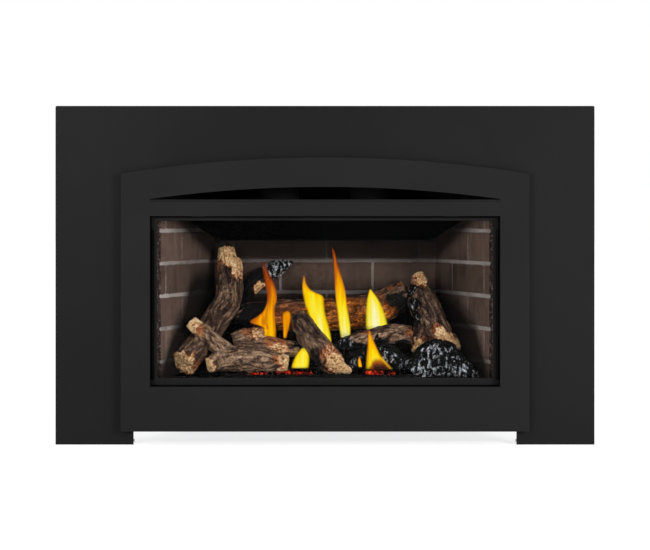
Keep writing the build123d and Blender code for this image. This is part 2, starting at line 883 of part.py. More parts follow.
def burner_manifold():
    """Pipe from the valve's outlet to the hexagonal jet holder below the mixing tube."""
    start = (gas_knob_x + outlet_x, valve_back, knob_z)
    turn = (gas_knob_x + outlet_x, mixing_y, knob_z)
    path = FilletPolyline(start, turn, (mixing_x, mixing_y, knob_z), radius=pipe_bend)
    pipe = sweep(Plane(start, z_dir=(0, 1, 0)) * Circle(gas_pipe_radius), path)
    jet = extrude(RegularPolygon(jet_radius, 6), jet_below + jet_above)
    return pipe + Pos(mixing_x, mixing_y, knob_z - jet_below) * jet


def pilot_assembly():
    """Pilot burner with its hood, and the spark electrode and flame sensor beside it."""
    base = slab(pilot_x - pilot_half, pilot_x + pilot_half, pilot_y - hood_radius, pilot_y + hood_radius,
                tray_top, tray_top + tray_sheet)
    top = tray_top + pilot_height
    stem = rod(stem_radius + tray_sheet, (pilot_x, pilot_y, tray_top), (pilot_x, pilot_y, top))
    hood = Pos(pilot_x, pilot_y, top) * Cylinder(hood_radius, hood_height)
    hood -= Pos(pilot_x, pilot_y - hood_radius, top) * Box(hood_radius, hood_height, hood_height / 2)
    solids = [base + stem + hood]
    for x in (pilot_x - electrode_x, pilot_x + electrode_x):
        seat = tray_top + tray_sheet
        sleeve = rod(sleeve_radius, (x, pilot_y, seat), (x, pilot_y, tray_top + sleeve_height))
        tip = rod(electrode_radius, (x, pilot_y, seat), (x, pilot_y, top + hood_height))
        solids.append(sleeve + tip)
    return group(solids)


def log_grate():
    """Cradle behind the burner that the rear log lies on."""
    front = rail_y - rail_width / 2
    back = rail_y + rail_width / 2
    bar = slab(-rail_half, rail_half, front, back, rail_top - rail_sheet, rail_top)
    web = slab(-rail_half, rail_half, back - rail_sheet, back, rail_top - rail_web, rail_top)
    posts = []
    for x in (-rail_half + rail_foot / 2, 0, rail_half - rail_foot / 2):
        left = x - rail_foot / 2
        right = x + rail_foot / 2
        posts.append(slab(left, right, back - rail_sheet, back, deck_top, rail_top))
        posts.append(slab(left, right, front, back, deck_top, deck_top + rail_sheet))
    return bar + web + posts


def ember_bed():
    """Lumps of glowing fibre along the front of the burner."""
    draw = random.Random(4)
    middle_y = deck_front_y + ember_from_deck_front
    half = ember_bed_width / 2
    strips = []
    for start, end in [[x * log_room(middle_y) for x in strip] for strip in ember_strips]:
        bed = slab(start, end, middle_y - half, middle_y + half, deck_top, deck_top + ember_pad)
        for i in range(int((end - start) / ember_pitch) + 1):
            x = start + ember_pitch * (i + 1 / 3) + draw.uniform(-ember_wander, ember_wander)
            y = middle_y + draw.uniform(-ember_wander, ember_wander)
            size = draw.uniform(ember_smallest, ember_largest)
            turn = Rot(draw.uniform(0, 90), draw.uniform(0, 90), draw.uniform(0, 90))
            bed += Pos(x, y, deck_top + ember_pad) * turn * Box(size, size * 0.8, size * 0.7)
        under = slab(-deck_half, deck_half, deck_front_y, deck_back_y, firebox_floor_z, deck_top)
        strips.append(bed - under)
    return group(strips)


# ---------------------------------------------------------------- logs
def limb(spine, sides=14, lobes=3, ripple=0.1, turn=0.0, up=(0, 0.37, 0.93)):
    """Irregular timber in flat facets through stations (x, y, height above the deck, radius)."""
    stations = [Vector(x * log_room(y), y, deck_top + h) for x, y, h, r in spine]
    radii = [r * log_room(y) for x, y, h, r in spine]
    last = len(stations) - 1
    rings = []
    for i, here in enumerate(stations):
        along = (stations[min(i + 1, last)] - stations[max(i - 1, 0)]).normalized()
        across = along.cross(Vector(*up)).normalized()
        outward = along.cross(across)
        ring = []
        for k in range(sides):
            angle = 2 * math.pi * k / sides
            lump = 1 + ripple * math.sin(lobes * angle + turn + 0.7 * i)
            radius = radii[i] * (lump + ripple / 2 * math.cos(5 * angle - i))
            ring.append(here + across * radius * math.cos(angle) + outward * radius * math.sin(angle))
        rings.append(ring)
    facets = [Face(Wire.make_polygon(rings[0])), Face(Wire.make_polygon(rings[-1]))]
    for near, far in zip(rings, rings[1:]):
        for k in range(sides):
            n = (k + 1) % sides
            facets.append(Face(Wire.make_polygon((near[k], near[n], far[n]))))
            facets.append(Face(Wire.make_polygon((near[k], far[n], far[k]))))
    return Solid(Shell(facets))


steep = (0, 1, 0)           # reference direction for limbs that stand up
upright_trunk = [(-289, 62, 20, 29), (-266, 95, 47, 28), (-244, 130, 76, 28), (-222, 165, 111, 28),
                 (-203, 190, 145, 29), (-200, 210, 186, 27), (-206, 225, 222, 23), (-209, 235, 248, 17)]
upright_knot = [(-203, 206, 172, 20), (-186, 208, 204, 17), (-180, 214, 230, 13), (-179, 218, 246, 8)]
branch = [(-193, 224, 126, 17), (-166, 240, 162, 20), (-140, 246, 184, 20), (-112, 246, 204, 20),
          (-88, 246, 215, 13), (-70, 246, 222, 5)]
fork_body = [(-231, 74, 16, 13), (-201, 78, 26, 24), (-160, 80, 28, 27), (-120, 78, 22, 22),
             (-80, 72, 18, 17)]
fork_twig = [(-185, 80, 28, 20), (-215, 82, 53, 18), (-246, 88, 79, 15), (-272, 95, 105, 12)]
split_stub = [(-188, 132, 62, 18), (-158, 128, 70, 21), (-128, 124, 78, 17)]
split_body = [(-170, 118, 52, 15), (-125, 112, 56, 19), (-88, 108, 49, 18), (-50, 108, 47, 15),
              (-26, 110, 53, 8)]
lean = [(-56, 130, 126, 9), (-46, 118, 107, 19), (-18, 88, 69, 25), (8, 66, 39, 27), (34, 46, 19, 23)]
rear = [(-174, 200, 99, 24), (-158, 198, 107, 31), (-84, 196, 110, 34), (0, 196, 113, 34),
        (82, 194, 119, 35), (130, 190, 133, 34), (160, 186, 150, 29)]
right_body = [(188, 184, 176, 16), (196, 170, 158, 27), (210, 152, 126, 32), (228, 132, 90, 30),
              (252, 114, 64, 21), (268, 104, 44, 14)]
right_foot = [(206, 150, 110, 20), (196, 128, 70, 17), (190, 116, 40, 13)]
right_knob = [(192, 180, 168, 14), (200, 176, 186, 17), (210, 170, 194, 14)]
cross_body = [(22, 92, 52, 9), (50, 94, 62, 16), (88, 95, 72, 18), (130, 96, 78, 21), (176, 100, 76, 19)]
mound = [(172, 52, -4, 22), (196, 66, 12, 32), (222, 76, 26, 42), (250, 70, 22, 38), (280, 50, 8, 24),
         (306, 32, -2, 10)]
chunk = [(44, 76, 14, 15), (72, 80, 26, 24), (106, 82, 34, 30), (140, 80, 26, 26), (160, 74, 14, 18)]


def logs():
    """The log set, each piece notched where it lies on the ones below."""
    level_half = brick_front_half + brick_thickness
    on_deck = slab(-level_half, level_half, -brick_back_y, brick_back_y, 0, deck_top)
    raised = slab(-deck_half, deck_half, deck_front_y, deck_back_y, 0, deck_top)
    on_tray = slab(-level_half, level_half, -brick_back_y, brick_back_y, 0, tray_top) + raised
    liner = brick_panel_left()
    cradle = slab(-rail_half - rail_foot, rail_half + rail_foot, rail_y - rail_foot, rail_y + rail_foot,
                  0, rail_top)
    made = {
        "rear_long_log": limb(rear, turn=0.4) - cradle,
        "left_upright_log": limb(upright_trunk) + limb(upright_knot, lobes=4) - on_tray - liner,
        "back_left_branch": limb(branch, turn=1.1),
        "front_fork_log": limb(fork_body, turn=2.0) + limb(fork_twig, up=steep) - on_deck,
        "middle_split_log": limb(split_stub, lobes=5) + limb(split_body, turn=0.9),
        "centre_lean_log": limb(lean, up=steep) - on_deck,
        "right_fork_log": limb(right_body, up=steep) + [limb(s, up=steep) for s in (right_foot, right_knob)],
        "char_mound": limb(mound, lobes=5, ripple=0.14) - on_tray,
        "char_chunk": limb(chunk, lobes=5, ripple=0.14) - on_deck,
        "right_cross_log": limb(cross_body, turn=1.6),
    }
    seats = {
        "left_upright_log": ["rear_long_log"],
        "back_left_branch": ["left_upright_log", "rear_long_log"],
        "front_fork_log": ["left_upright_log"],
        "middle_split_log": ["front_fork_log", "left_upright_log", "rear_long_log"],
        "centre_lean_log": ["middle_split_log", "rear_long_log"],
        "char_mound": [],
        "char_chunk": ["char_mound", "centre_lean_log"],
        "right_fork_log": ["rear_long_log", "char_mound", "char_chunk"],
        "right_cross_log": ["char_mound", "char_chunk", "right_fork_log", "centre_lean_log", "rear_long_log"],
    }
    for name, below in seats.items():
        for other in below:
            made[name] = made[name] - made[other]
        made[name] = max(made[name].solids(), key=lambda s: s.volume)
    made["char_lumps"] = group([made.pop("char_mound"), made.pop("char_chunk")])
    return made


# ---------------------------------------------------------------- controls
def control_panel():
    """Panel that carries the controls, with its foot on the casing's base."""
    face = slab(-panel_half, panel_half, panel_y, panel_back, base_top, panel_top)
    foot = slab(-panel_half, panel_half, panel_y, panel_y + panel_foot, base_top, base_top + sheet)
    holes = [rod_y(stem_radius + stem_room, x, panel_y - through, panel_y + through, knob_z)
             for x in (gas_knob_x, flame_knob_x)]
    holes.append(rod_y(button_barrel_radius, igniter_x, panel_y - through, panel_y + through, knob_z))
    holes.append(slab(switch_x - switch_half_w, switch_x + switch_half_w, panel_y - through,
                      panel_y + through, knob_z - switch_half_h, knob_z + switch_half_h))
    return face - holes + foot


def gas_valve():
    """Valve block with a stem for each knob."""
    body = slab(gas_knob_x - valve_side, flame_knob_x + valve_side, panel_back, valve_back,
                knob_z - valve_below, knob_z + valve_above)
    body = chamfer(body.edges().filter_by(Axis.Y), valve_corner)
    for x in (gas_knob_x, flame_knob_x):
        body += rod_y(stem_radius, x, panel_y - stem_length, panel_back + sheet, knob_z)
    return body


def knob(x, radius):
    """Twelve-sided knob with a round skirt, a pointer and a blind bore on the valve's stem."""
    front = panel_y - knob_length
    grip = upright(Pos(x, knob_z) * RegularPolygon(radius, knob_sides), front, knob_length - knob_skirt)
    skirt = rod_y(radius + knob_skirt / 3, x, panel_y - knob_skirt, panel_y - gap, knob_z)
    pointer = slab(x - pointer_half, x + pointer_half, front - pointer_half, front,
                   knob_z, knob_z + radius - 2 * pointer_half)
    bore = rod_y(stem_radius + shaft_play, x, panel_y - stem_length - gap, panel_y + through, knob_z)
    return grip + skirt + pointer - bore


def igniter_barrel():
    barrel = rod_y(button_barrel_radius, igniter_x, panel_y, panel_y + button_barrel_length, knob_z)
    collar = rod_y(button_barrel_radius + bezel, igniter_x, panel_y - bezel, panel_y, knob_z)
    well_end = panel_y + button_length + button_travel + gap
    well = rod_y(button_radius + button_play, igniter_x, panel_y - through, well_end, knob_z)
    return barrel + collar - well


def igniter_button():
    front = panel_y - bezel - button_proud
    body = rod_y(button_radius, igniter_x, front, panel_y + button_length, knob_z)
    return chamfer(body.edges().sort_by(Axis.Y)[0], button_radius / 7)


def switch_body():
    """Housing of the fan switch, with a well and two pivot holes."""
    body = slab(switch_x - switch_half_w, switch_x + switch_half_w, panel_y, panel_y + switch_depth,
                knob_z - switch_half_h, knob_z + switch_half_h)
    body += slab(switch_x - switch_half_w - bezel, switch_x + switch_half_w + bezel, panel_y - bezel, panel_y,
                 knob_z - switch_half_h - bezel, knob_z + switch_half_h + bezel)
    well = rocker_half + rocker_play
    well_half = rocker_tall + rocker_well_play
    body -= slab(switch_x - well, switch_x + well, panel_y - through, panel_y + switch_well,
                 knob_z - well_half, knob_z + well_half)
    pivot = well + rocker_pin_length
    return body - rod_x(rocker_pin + shaft_play, switch_x - pivot, switch_x + pivot, rocker_y, knob_z)


def switch_rocker():
    """Paddle with two slanted faces that tips in the switch's well."""
    nose = panel_y - button_proud + rocker_slope
    shoulder = rocker_tall - rocker_slope
    profile = make_face(Polyline((nose, rocker_tall), (nose + bezel, 0), (nose, -rocker_tall),
                                 (rocker_y, -shoulder), (rocker_y + button_proud, 0),
                                 (rocker_y, shoulder), close=True))
    paddle = Pos(switch_x, 0, knob_z) * extrude(Plane.YZ * profile, rocker_half, both=True)
    pivot = rocker_half + rocker_pin_length
    return paddle + rod_x(rocker_pin, switch_x - pivot, switch_x + pivot, rocker_y, knob_z)


def gas_supply_pipe():
    """House-pipe socket outside the casing, shut-off body inside it, and the tail to the valve."""
    mouth = -casing_half - inlet_out
    thread_end = mouth + inlet_thread_length
    socket = rod_x(inlet_radius, mouth, -casing_half - inlet_stop, inlet_y, inlet_z)
    well = rod_x(inlet_bore, mouth - through, thread_end, inlet_y, inlet_z)
    pipe = rod_x(gas_pipe_radius, thread_end, lever_turn_x, inlet_y, inlet_z)
    block = slab(lever_turn_x - shutoff_half, lever_turn_x + shutoff_half, inlet_y - shutoff_block,
                 inlet_y + shutoff_block, inlet_z - shutoff_block, inlet_z + shutoff_block)
    block = chamfer(block.edges().filter_by(Axis.X), shutoff_block / 3)
    neck = rod_y(shutoff_neck_radius, lever_turn_x, inlet_y - shutoff_neck, inlet_y, inlet_z)
    stem = rod_y(stem_radius, lever_turn_x, inlet_y - shutoff_stem, inlet_y, inlet_z)
    start = (lever_turn_x + shutoff_half, inlet_y, inlet_z)
    bend_x = gas_knob_x - tail_offset
    path = FilletPolyline(start, (bend_x, inlet_y, inlet_z), (bend_x, valve_back, inlet_z), radius=tail_bend)
    tail = sweep(Plane(start, z_dir=(1, 0, 0)) * Circle(gas_pipe_radius), path)
    return socket - well + pipe + block + neck + stem + tail


def shutoff_lever():
    near = inlet_y - shutoff_neck - gap
    front = near - lever_depth
    hub = rod_y(lever_hub, lever_turn_x, front, near, inlet_z)
    arm = slab(lever_turn_x - lever_half, lever_turn_x + lever_length, front, front + lever_thickness,
               inlet_z - lever_half, inlet_z + lever_half)
    arm = fillet(arm.edges().filter_by(Axis.Y), lever_corner)
    bore = rod_y(stem_radius + shaft_play, lever_turn_x, front - through, near + through, inlet_z)
    return hub + arm - bore


# ---------------------------------------------------------------- convection fan
def blower_housing():
    """Scroll under and behind the drum, open at the front and above, with a cheek at each end."""
    outer = fan_radius + housing_clear
    wall = outer + housing_sheet
    ring = Circle(wall) - Circle(outer)
    rear_quarter = Pos(wall, -wall) * Rectangle(2 * wall, 2 * wall)
    front_part = Pos(-wall, -wall) * Rectangle(2 * wall, 2 * wall - fan_radius)
    ring &= rear_quarter + front_part
    body = Pos(0, fan_y, fan_z) * extrude(Plane.YZ * ring, housing_half, both=True)
    body += slab(-housing_half, housing_half, fan_y + outer, fan_y + wall, fan_z, housing_top)
    for side in (-1, 1):
        x0, x1 = sorted((side * housing_half, side * housing_end))
        cheek = slab(x0, x1, fan_y - housing_half_depth, fan_y + housing_half_depth, base_top, housing_top)
        body += cheek - rod_x(fan_shaft_radius + shaft_play, x0 - through, x1 + through, fan_y, fan_z)
    return body


def blower_impeller():
    """Cross-flow drum: forward-curved blades between two end discs."""
    half = fan_length / 2
    parts = [rod_x(fan_radius, side * half, side * (half - fan_disc), fan_y, fan_z) for side in (-1, 1)]
    root = fan_radius - blade_chord
    bow = root + blade_chord / 2
    tip = fan_radius - blade_thickness
    hollow = ThreePointArc((root, 0), (bow, -blade_hollow), (tip, blade_sweep))
    back = ThreePointArc((tip, blade_sweep + blade_thickness), (bow, blade_thickness - blade_hollow),
                         (root, blade_thickness))
    section = make_face([hollow, back, Line(hollow @ 1, back @ 0), Line(back @ 1, hollow @ 0)])
    for i in range(fan_blades):
        turned = Rot(0, 0, 360 * i / fan_blades) * section
        blade = extrude(Plane.YZ * turned, half - fan_disc, both=True)
        parts.append(Pos(0, fan_y, fan_z) * blade)
    inner = half - fan_disc / 2
    parts.append(rod_x(fan_shaft_radius, -housing_end - shaft_past_housing, -inner, fan_y, fan_z))
    parts.append(rod_x(fan_shaft_radius, inner, housing_end + shaft_in_motor, fan_y, fan_z))
    return parts[0] + parts[1:]


def blower_motor():
    can = rod_x(motor_radius, housing_end, housing_end + motor_length, fan_y, fan_z)
    can = chamfer(can.edges().sort_by(Axis.X)[-1], motor_corner)
    bore_end = housing_end + shaft_in_motor + motor_bore_room
    return can - rod_x(fan_shaft_radius + shaft_play, housing_end - through, bore_end, fan_y, fan_z)


# ---------------------------------------------------------------- build and write
pieces = {
    "surround_panel": surround_panel(),
    "surround_brackets": surround_brackets(),
    "front_faceplate": front_faceplate(),
    "front_magnets": front_magnets(),
    "front_support_ledges": front_support_ledges(),
    "casing_base": casing_base(),
    "casing_left_side": casing_left_side(),
    "casing_right_side": casing_right_side(),
    "casing_back": casing_back(),
    "casing_top": casing_top(),
    "cabinet_screws": cabinet_screws(),
    "levelling_bolts": levelling_bolts(),
    "firebox_floor": firebox_floor(),
    "firebox_left_wall": mirror(firebox_right_wall(), Plane.YZ),
    "firebox_right_wall": firebox_right_wall(),
    "firebox_back_wall": firebox_back_wall(),
    "firebox_top": firebox_top(),
    "firebox_front_frame": firebox_front_frame(),
    "firebox_supports": firebox_supports(),
    "ceiling_baffle": ceiling_baffle(),
    "exhaust_collar": flue_collar(1),
    "intake_collar": flue_collar(-1),
    "brick_panel_left": brick_panel_left(),
    "brick_panel_right": mirror(brick_panel_left(), Plane.YZ),
    "brick_panel_back": brick_panel_back(),
    "brick_clips": brick_clips(),
    "door_frame": door_frame(),
    "door_glass": door_glass(),
    "glass_retainer": glass_retainer(),
    "door_gasket": door_gasket(),
    "door_hinge_pins": door_hinge_pins(),
    "door_catches": door_catches(),
    "burner_tray": burner_tray(),
    "mixing_tube": mixing_tube(),
    "burner_manifold": burner_manifold(),
    "pilot_assembly": pilot_assembly(),
    "log_grate": log_grate(),
    "ember_bed": ember_bed(),
    **logs(),
    "control_panel": control_panel(),
    "gas_valve": gas_valve(),
    "gas_control_knob": knob(gas_knob_x, gas_knob_radius),
    "flame_height_knob": knob(flame_knob_x, flame_knob_radius),
    "igniter_barrel": igniter_barrel(),
    "igniter_button": igniter_button(),
    "switch_body": switch_body(),
    "switch_rocker": switch_rocker(),
    "gas_supply_pipe": gas_supply_pipe(),
    "shutoff_lever": shutoff_lever(),
    "blower_housing": blower_housing(),
    "blower_impeller": blower_impeller(),
    "blower_motor": blower_motor(),
}

to_middle = (front_proud - casing_depth) / 2
for node, piece in pieces.items():
    export_step(Pos(0, to_middle, 0) * piece, f"parts/{node}.step")
print(len(pieces), "nodes")
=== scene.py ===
import bmesh
import bpy
import json
import math
import numpy as np
import random
from mathutils import Matrix, Vector


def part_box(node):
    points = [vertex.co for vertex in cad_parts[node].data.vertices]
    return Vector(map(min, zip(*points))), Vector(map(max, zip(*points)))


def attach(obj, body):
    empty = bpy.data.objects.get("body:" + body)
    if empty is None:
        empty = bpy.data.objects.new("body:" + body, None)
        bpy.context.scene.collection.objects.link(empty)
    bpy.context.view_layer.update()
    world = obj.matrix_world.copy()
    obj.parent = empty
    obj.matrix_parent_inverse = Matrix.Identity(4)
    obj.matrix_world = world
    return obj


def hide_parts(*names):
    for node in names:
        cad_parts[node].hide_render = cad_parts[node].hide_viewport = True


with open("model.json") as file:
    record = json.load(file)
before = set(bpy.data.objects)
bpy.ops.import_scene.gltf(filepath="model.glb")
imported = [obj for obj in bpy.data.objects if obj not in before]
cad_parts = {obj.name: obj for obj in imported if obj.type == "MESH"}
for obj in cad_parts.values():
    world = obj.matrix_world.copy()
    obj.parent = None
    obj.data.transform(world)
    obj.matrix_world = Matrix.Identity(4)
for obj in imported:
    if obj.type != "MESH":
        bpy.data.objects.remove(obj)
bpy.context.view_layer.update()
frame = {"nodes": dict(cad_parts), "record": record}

# ---- places taken from the frame
MM = 0.001
wall_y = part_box("surround_panel")[1].y  # the wall that the surround lies on
deck_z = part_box("burner_tray")[1].z  # top of the burner deck
floor_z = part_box("firebox_floor")[1].z  # top of the firebox floor
casing_top_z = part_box("casing_top")[1].z  # top of the casing
casing_middle = Vector((0.0, 0.0, casing_top_z / 2))


def spot(x, y, h):
    """Metres from millimetres: x from the middle, y behind the wall, h above the burner deck."""
    return Vector((x * MM, wall_y + y * MM, deck_z + h * MM))


def into_scene(name, data):
    """Object in the scene that holds a mesh, curve, light or camera."""
    made = bpy.data.objects.new(name, data)
    bpy.context.scene.collection.objects.link(made)
    return made


# ---- camera
# the photo is seen level and square on, its picture shifted down
camera_distance = 3.504  # in front of the wall
eye_height = 0.4486  # above the hearth
cam_data = bpy.data.cameras.new("camera")
cam_data.sensor_width = 36
cam_data.lens = 97.37
cam_data.shift_y = -0.0877
camera = into_scene("camera", cam_data)
camera.location = (0.0, wall_y - camera_distance, eye_height)
camera.rotation_euler = (math.radians(90), 0, 0)
bpy.context.scene.camera = camera


# ---- short hands for shader trees
def tint(code):
    """Linear colour from a screen colour such as #3a302b."""
    parts = [int(code[i:i + 2], 16) / 255 for i in (1, 3, 5)]
    return [p / 12.92 if p <= 0.04045 else ((p + 0.055) / 1.055) ** 2.4 for p in parts] + [1.0]


def node(tree, kind, put=None, **settings):
    """Shader node with its settings made and its inputs filled or linked."""
    made = tree.nodes.new("ShaderNode" + kind)
    for key, value in settings.items():
        setattr(made, key, value)
    for key, value in (put or {}).items():
        socket = made.inputs[key]
        if isinstance(value, bpy.types.NodeSocket):
            tree.links.new(value, socket)
        else:
            socket.default_value = value
    return made


def compute(tree, kind, a, b):
    """Math node on two values."""
    return node(tree, "Math", {0: a, 1: b}, operation=kind).outputs[0]


def times(tree, a, b):
    """Product of two values."""
    return compute(tree, "MULTIPLY", a, b)


def summed(tree, *pairs):
    """Sum of values, each multiplied by its weight."""
    total = 0.0
    for value, weight in pairs:
        total = node(tree, "Math", {0: value, 1: weight, 2: total}, operation="MULTIPLY_ADD").outputs[0]
    return total


def centred(tree, value, width):
    """A value from 0 to 1 turned into one that swings about 0."""
    return times(tree, compute(tree, "SUBTRACT", value, 0.5), width)


def step(tree, value, start, end):
    """Smooth step of a value between two thresholds."""
    made = node(tree, "MapRange", {"Value": value, "From Min": start, "From Max": end},
                interpolation_type="SMOOTHSTEP")
    return made.outputs["Result"]


# a Mix node has its plain values at sockets 2 and 3, and its colours at 6 and 7
def between(tree, mask, a, b):
    """Value a where the mask is 0 and b where it is 1."""
    return node(tree, "Mix", {0: mask, 2: a, 3: b}).outputs[0]


def blend(tree, mask, a, b):
    """Colour a where the mask is 0 and b where it is 1."""
    return node(tree, "Mix", {0: mask, 6: a, 7: b}, data_type="RGBA").outputs[2]


def wash(tree, colour, mask, code, amount=1.0):
    """A colour with another laid over it where the mask says."""
    return blend(tree, times(tree, mask, amount), colour, tint(code))


def ramp(tree, value, *stops):
    """Colours at positions along a value."""
    made = node(tree, "ValToRGB", {0: value})
    scale = made.color_ramp.elements
    while len(scale) < len(stops):
        scale.new(1.0)
    for mark, (place, code) in zip(scale, stops):
        mark.position = place
        mark.color = tint(code)
    return made.outputs["Color"]


def attribute(tree, name):
    """Value of a point attribute on the piece."""
    return node(tree, "Attribute", attribute_name=name).outputs["Fac"]


def object_place(tree):
    """Place on the piece, in metres of the shared frame."""
    return node(tree, "TexCoord").outputs["Object"]


def noise(tree, vector, scale, detail=3.0, rough=0.55):
    """Value of a noise pattern at a vector."""
    put = {"Vector": vector, "Scale": scale, "Detail": detail, "Roughness": rough}
    return node(tree, "TexNoise", put).outputs["Fac"]


def stretched(tree, vector, x, y, z):
    """The vector with each axis multiplied."""
    return node(tree, "VectorMath", {0: vector, 1: (x, y, z)}, operation="MULTIPLY").outputs[0]


def group(name, inputs, outputs):
    """Empty shader group with float or vector inputs and its outputs, and its two end nodes."""
    tree = bpy.data.node_groups.new(name, "ShaderNodeTree")
    for label, kind, default in inputs:
        socket = tree.interface.new_socket(name=label, in_out="INPUT", socket_type="NodeSocket" + kind)
        if default is not None:
            socket.default_value = default
    for label, kind in outputs:
        tree.interface.new_socket(name=label, in_out="OUTPUT", socket_type="NodeSocket" + kind)
    return tree, tree.nodes.new("NodeGroupInput"), tree.nodes.new("NodeGroupOutput")


def placed(tree, shared, put):
    """A shared group placed in a material."""
    return node(tree, "Group", put, node_tree=shared)


# ---- shared effects
def orange_peel():
    """Fine ripple of a powder coat or a cast skin."""
    tree, start, end = group("orange_peel", [("Scale", "Float", 900.0), ("Depth", "Float", 0.1)],
                             [("Normal", "Vector")])
    grain = noise(tree, object_place(tree), start.outputs["Scale"], 2.0, 0.5)
    bump = node(tree, "Bump", {"Strength": start.outputs["Depth"], "Distance": 0.0004, "Height": grain})
    tree.links.new(bump.outputs["Normal"], end.inputs["Normal"])
    return tree


def cloud_tone():
    """Slow change between two colours, and a value for roughness."""
    tree, start, end = group("cloud_tone", [("Scale", "Float", 6.0), ("Dark", "Color", None),
                                            ("Light", "Color", None), ("Dull", "Float", 0.5),
                                            ("Glossy", "Float", 0.4)],
                             [("Color", "Color"), ("Roughness", "Float")])
    wide = noise(tree, object_place(tree), start.outputs["Scale"], 4.0, 0.6)
    mask = step(tree, wide, 0.35, 0.65)
    colour = blend(tree, mask, start.outputs["Dark"], start.outputs["Light"])
    rough = between(tree, mask, start.outputs["Dull"], start.outputs["Glossy"])
    tree.links.new(colour, end.inputs["Color"])
    tree.links.new(rough, end.inputs["Roughness"])
    return tree


def ash_strokes():
    """Short pale strokes of ash, along the third axis of the vector."""
    tree, start, end = group("ash_strokes", [("Vector", "Vector", None), ("Amount", "Float", 0.0)],
                             [("Mask", "Float")])
    amount = start.outputs["Amount"]
    lifted = summed(tree, (amount, 0.14), (noise(tree, start.outputs["Vector"], 1.0, 2.0, 0.55), 1.0))
    shown = times(tree, step(tree, lifted, 0.64, 0.7), step(tree, amount, 0.05, 0.3))
    tree.links.new(shown, end.inputs["Mask"])
    return tree


peel = orange_peel()
tone = cloud_tone()
ash = ash_strokes()


# ---- materials
def material(name, **constants):
    """Material with one Principled shader, its plain values set on the sockets."""
    made = bpy.data.materials.new(name)
    made.use_nodes = True
    shader = made.node_tree.nodes["Principled BSDF"]
    for key, value in constants.items():
        shader.inputs[key.replace("_", " ")].default_value = value
    return made, made.node_tree, shader


def feed(tree, shader, **sources):
    """Sockets linked to the shader's inputs of those names."""
    for key, source in sources.items():
        tree.links.new(source, shader.inputs[key.replace("_", " ")])


def coated(name, dark, light, dull, glossy, scale, grain=900.0, depth=0.12, **constants):
    """Powder-coated, cast or moulded skin: slow tone changes over a fine ripple."""
    made, tree, shader = material(name, **constants)
    skin = placed(tree, tone, {"Scale": scale, "Dark": tint(dark), "Light": tint(light),
                               "Dull": dull, "Glossy": glossy})
    ripple = placed(tree, peel, {"Scale": grain, "Depth": depth})
    feed(tree, shader, Base_Color=skin.outputs["Color"], Roughness=skin.outputs["Roughness"],
         Normal=ripple.outputs["Normal"])
    return made


spray_full = wall_y + 60 * MM  # the casing's black spray is full up to here
spray_end = wall_y + 85 * MM  # and ends here
spray_fray = 20 * MM  # its edge wanders this far
half_seam = 0.5 * MM  # half the width of a crisp change of colour


def galvanised_steel(name, blackened="front"):
    """Zinc spangle, sprayed black near the room, also where it looks inwards, or below the casing's top."""
    made, tree, shader = material(name)
    place = object_place(tree)
    cells = node(tree, "TexVoronoi", {"Vector": place, "Scale": 70.0}, feature="F1")
    spangle = ramp(tree, cells.outputs["Color"], (0.0, "#7d8386"), (0.5, "#949a9d"), (1.0, "#a8aeb0"))
    zinc = wash(tree, spangle, step(tree, noise(tree, place, 5.0), 0.3, 0.8), "#878c8e")
    axes = node(tree, "SeparateXYZ", {0: place})
    ragged = summed(tree, (noise(tree, place, 30.0), spray_fray), (axes.outputs["Y"], 1.0))
    spray = step(tree, ragged, spray_end, spray_full)
    if blackened == "inside":
        outward = node(tree, "VectorMath", {0: place, 1: casing_middle}, operation="SUBTRACT").outputs[0]
        facing = node(tree, "NewGeometry").outputs["Normal"]
        towards = node(tree, "VectorMath", {0: outward, 1: facing}, operation="DOT_PRODUCT").outputs["Value"]
        spray = compute(tree, "MAXIMUM", spray, step(tree, towards, 0.0, -0.01))
    elif blackened == "below":
        spray = step(tree, axes.outputs["Z"], casing_top_z + half_seam, casing_top_z - half_seam)
    feed(tree, shader, Base_Color=wash(tree, zinc, spray, "#060606"),
         Metallic=between(tree, spray, 0.85, 0.0), Roughness=between(tree, spray, 0.4, 0.9))
    return made


# painted shade on the liner, in metres: darker low down, the shadows behind the logs and the upright one,
# and the baffle's shadow; depths are behind the wall
upright_shadow_x = (-0.228, -0.242)  # x where the painted shadow beside the upright log begins and is full
shade_wander = 0.04  # the painted shade's upper edge wanders this far
shade_fade = (0.03, -0.035)  # from unshaded above that edge to full shade below it
baffle_fall = 0.46  # the baffle falls this much for each metre of depth
baffle_shadow = (0.464, 0.496)  # heights at the wall where the painted shadow under it begins and is full


def painted_shade_height(tree, depth, height, start, end):
    """Height of painted shade that grows between two depths."""
    return times(tree, step(tree, depth, start, end), height)


def liner_painted_shade(tree, axes, depth, cloud):
    """Mask of painted shade: low in front, higher behind the logs and the upright one, and under the baffle,
    where their shadows fall.
    """
    in_front = painted_shade_height(tree, depth, height=0.09, start=0.0, end=0.085)
    behind_logs = painted_shade_height(tree, depth, height=0.055, start=0.06, end=0.2)
    behind_upright = painted_shade_height(tree, depth, height=0.05, start=0.09, end=0.18)
    edge = summed(tree, (in_front, 1.0), (behind_logs, 1.0),
                  (behind_upright, step(tree, axes.outputs["X"], *upright_shadow_x)), (cloud, shade_wander))
    above = compute(tree, "SUBTRACT", compute(tree, "SUBTRACT", axes.outputs["Z"], edge), deck_z)
    to_baffle = summed(tree, (depth, baffle_fall), (axes.outputs["Z"], 1.0))
    return compute(tree, "MAXIMUM", times(tree, step(tree, above, *shade_fade), 0.96),
                   times(tree, step(tree, to_baffle, *baffle_shadow), 0.88))


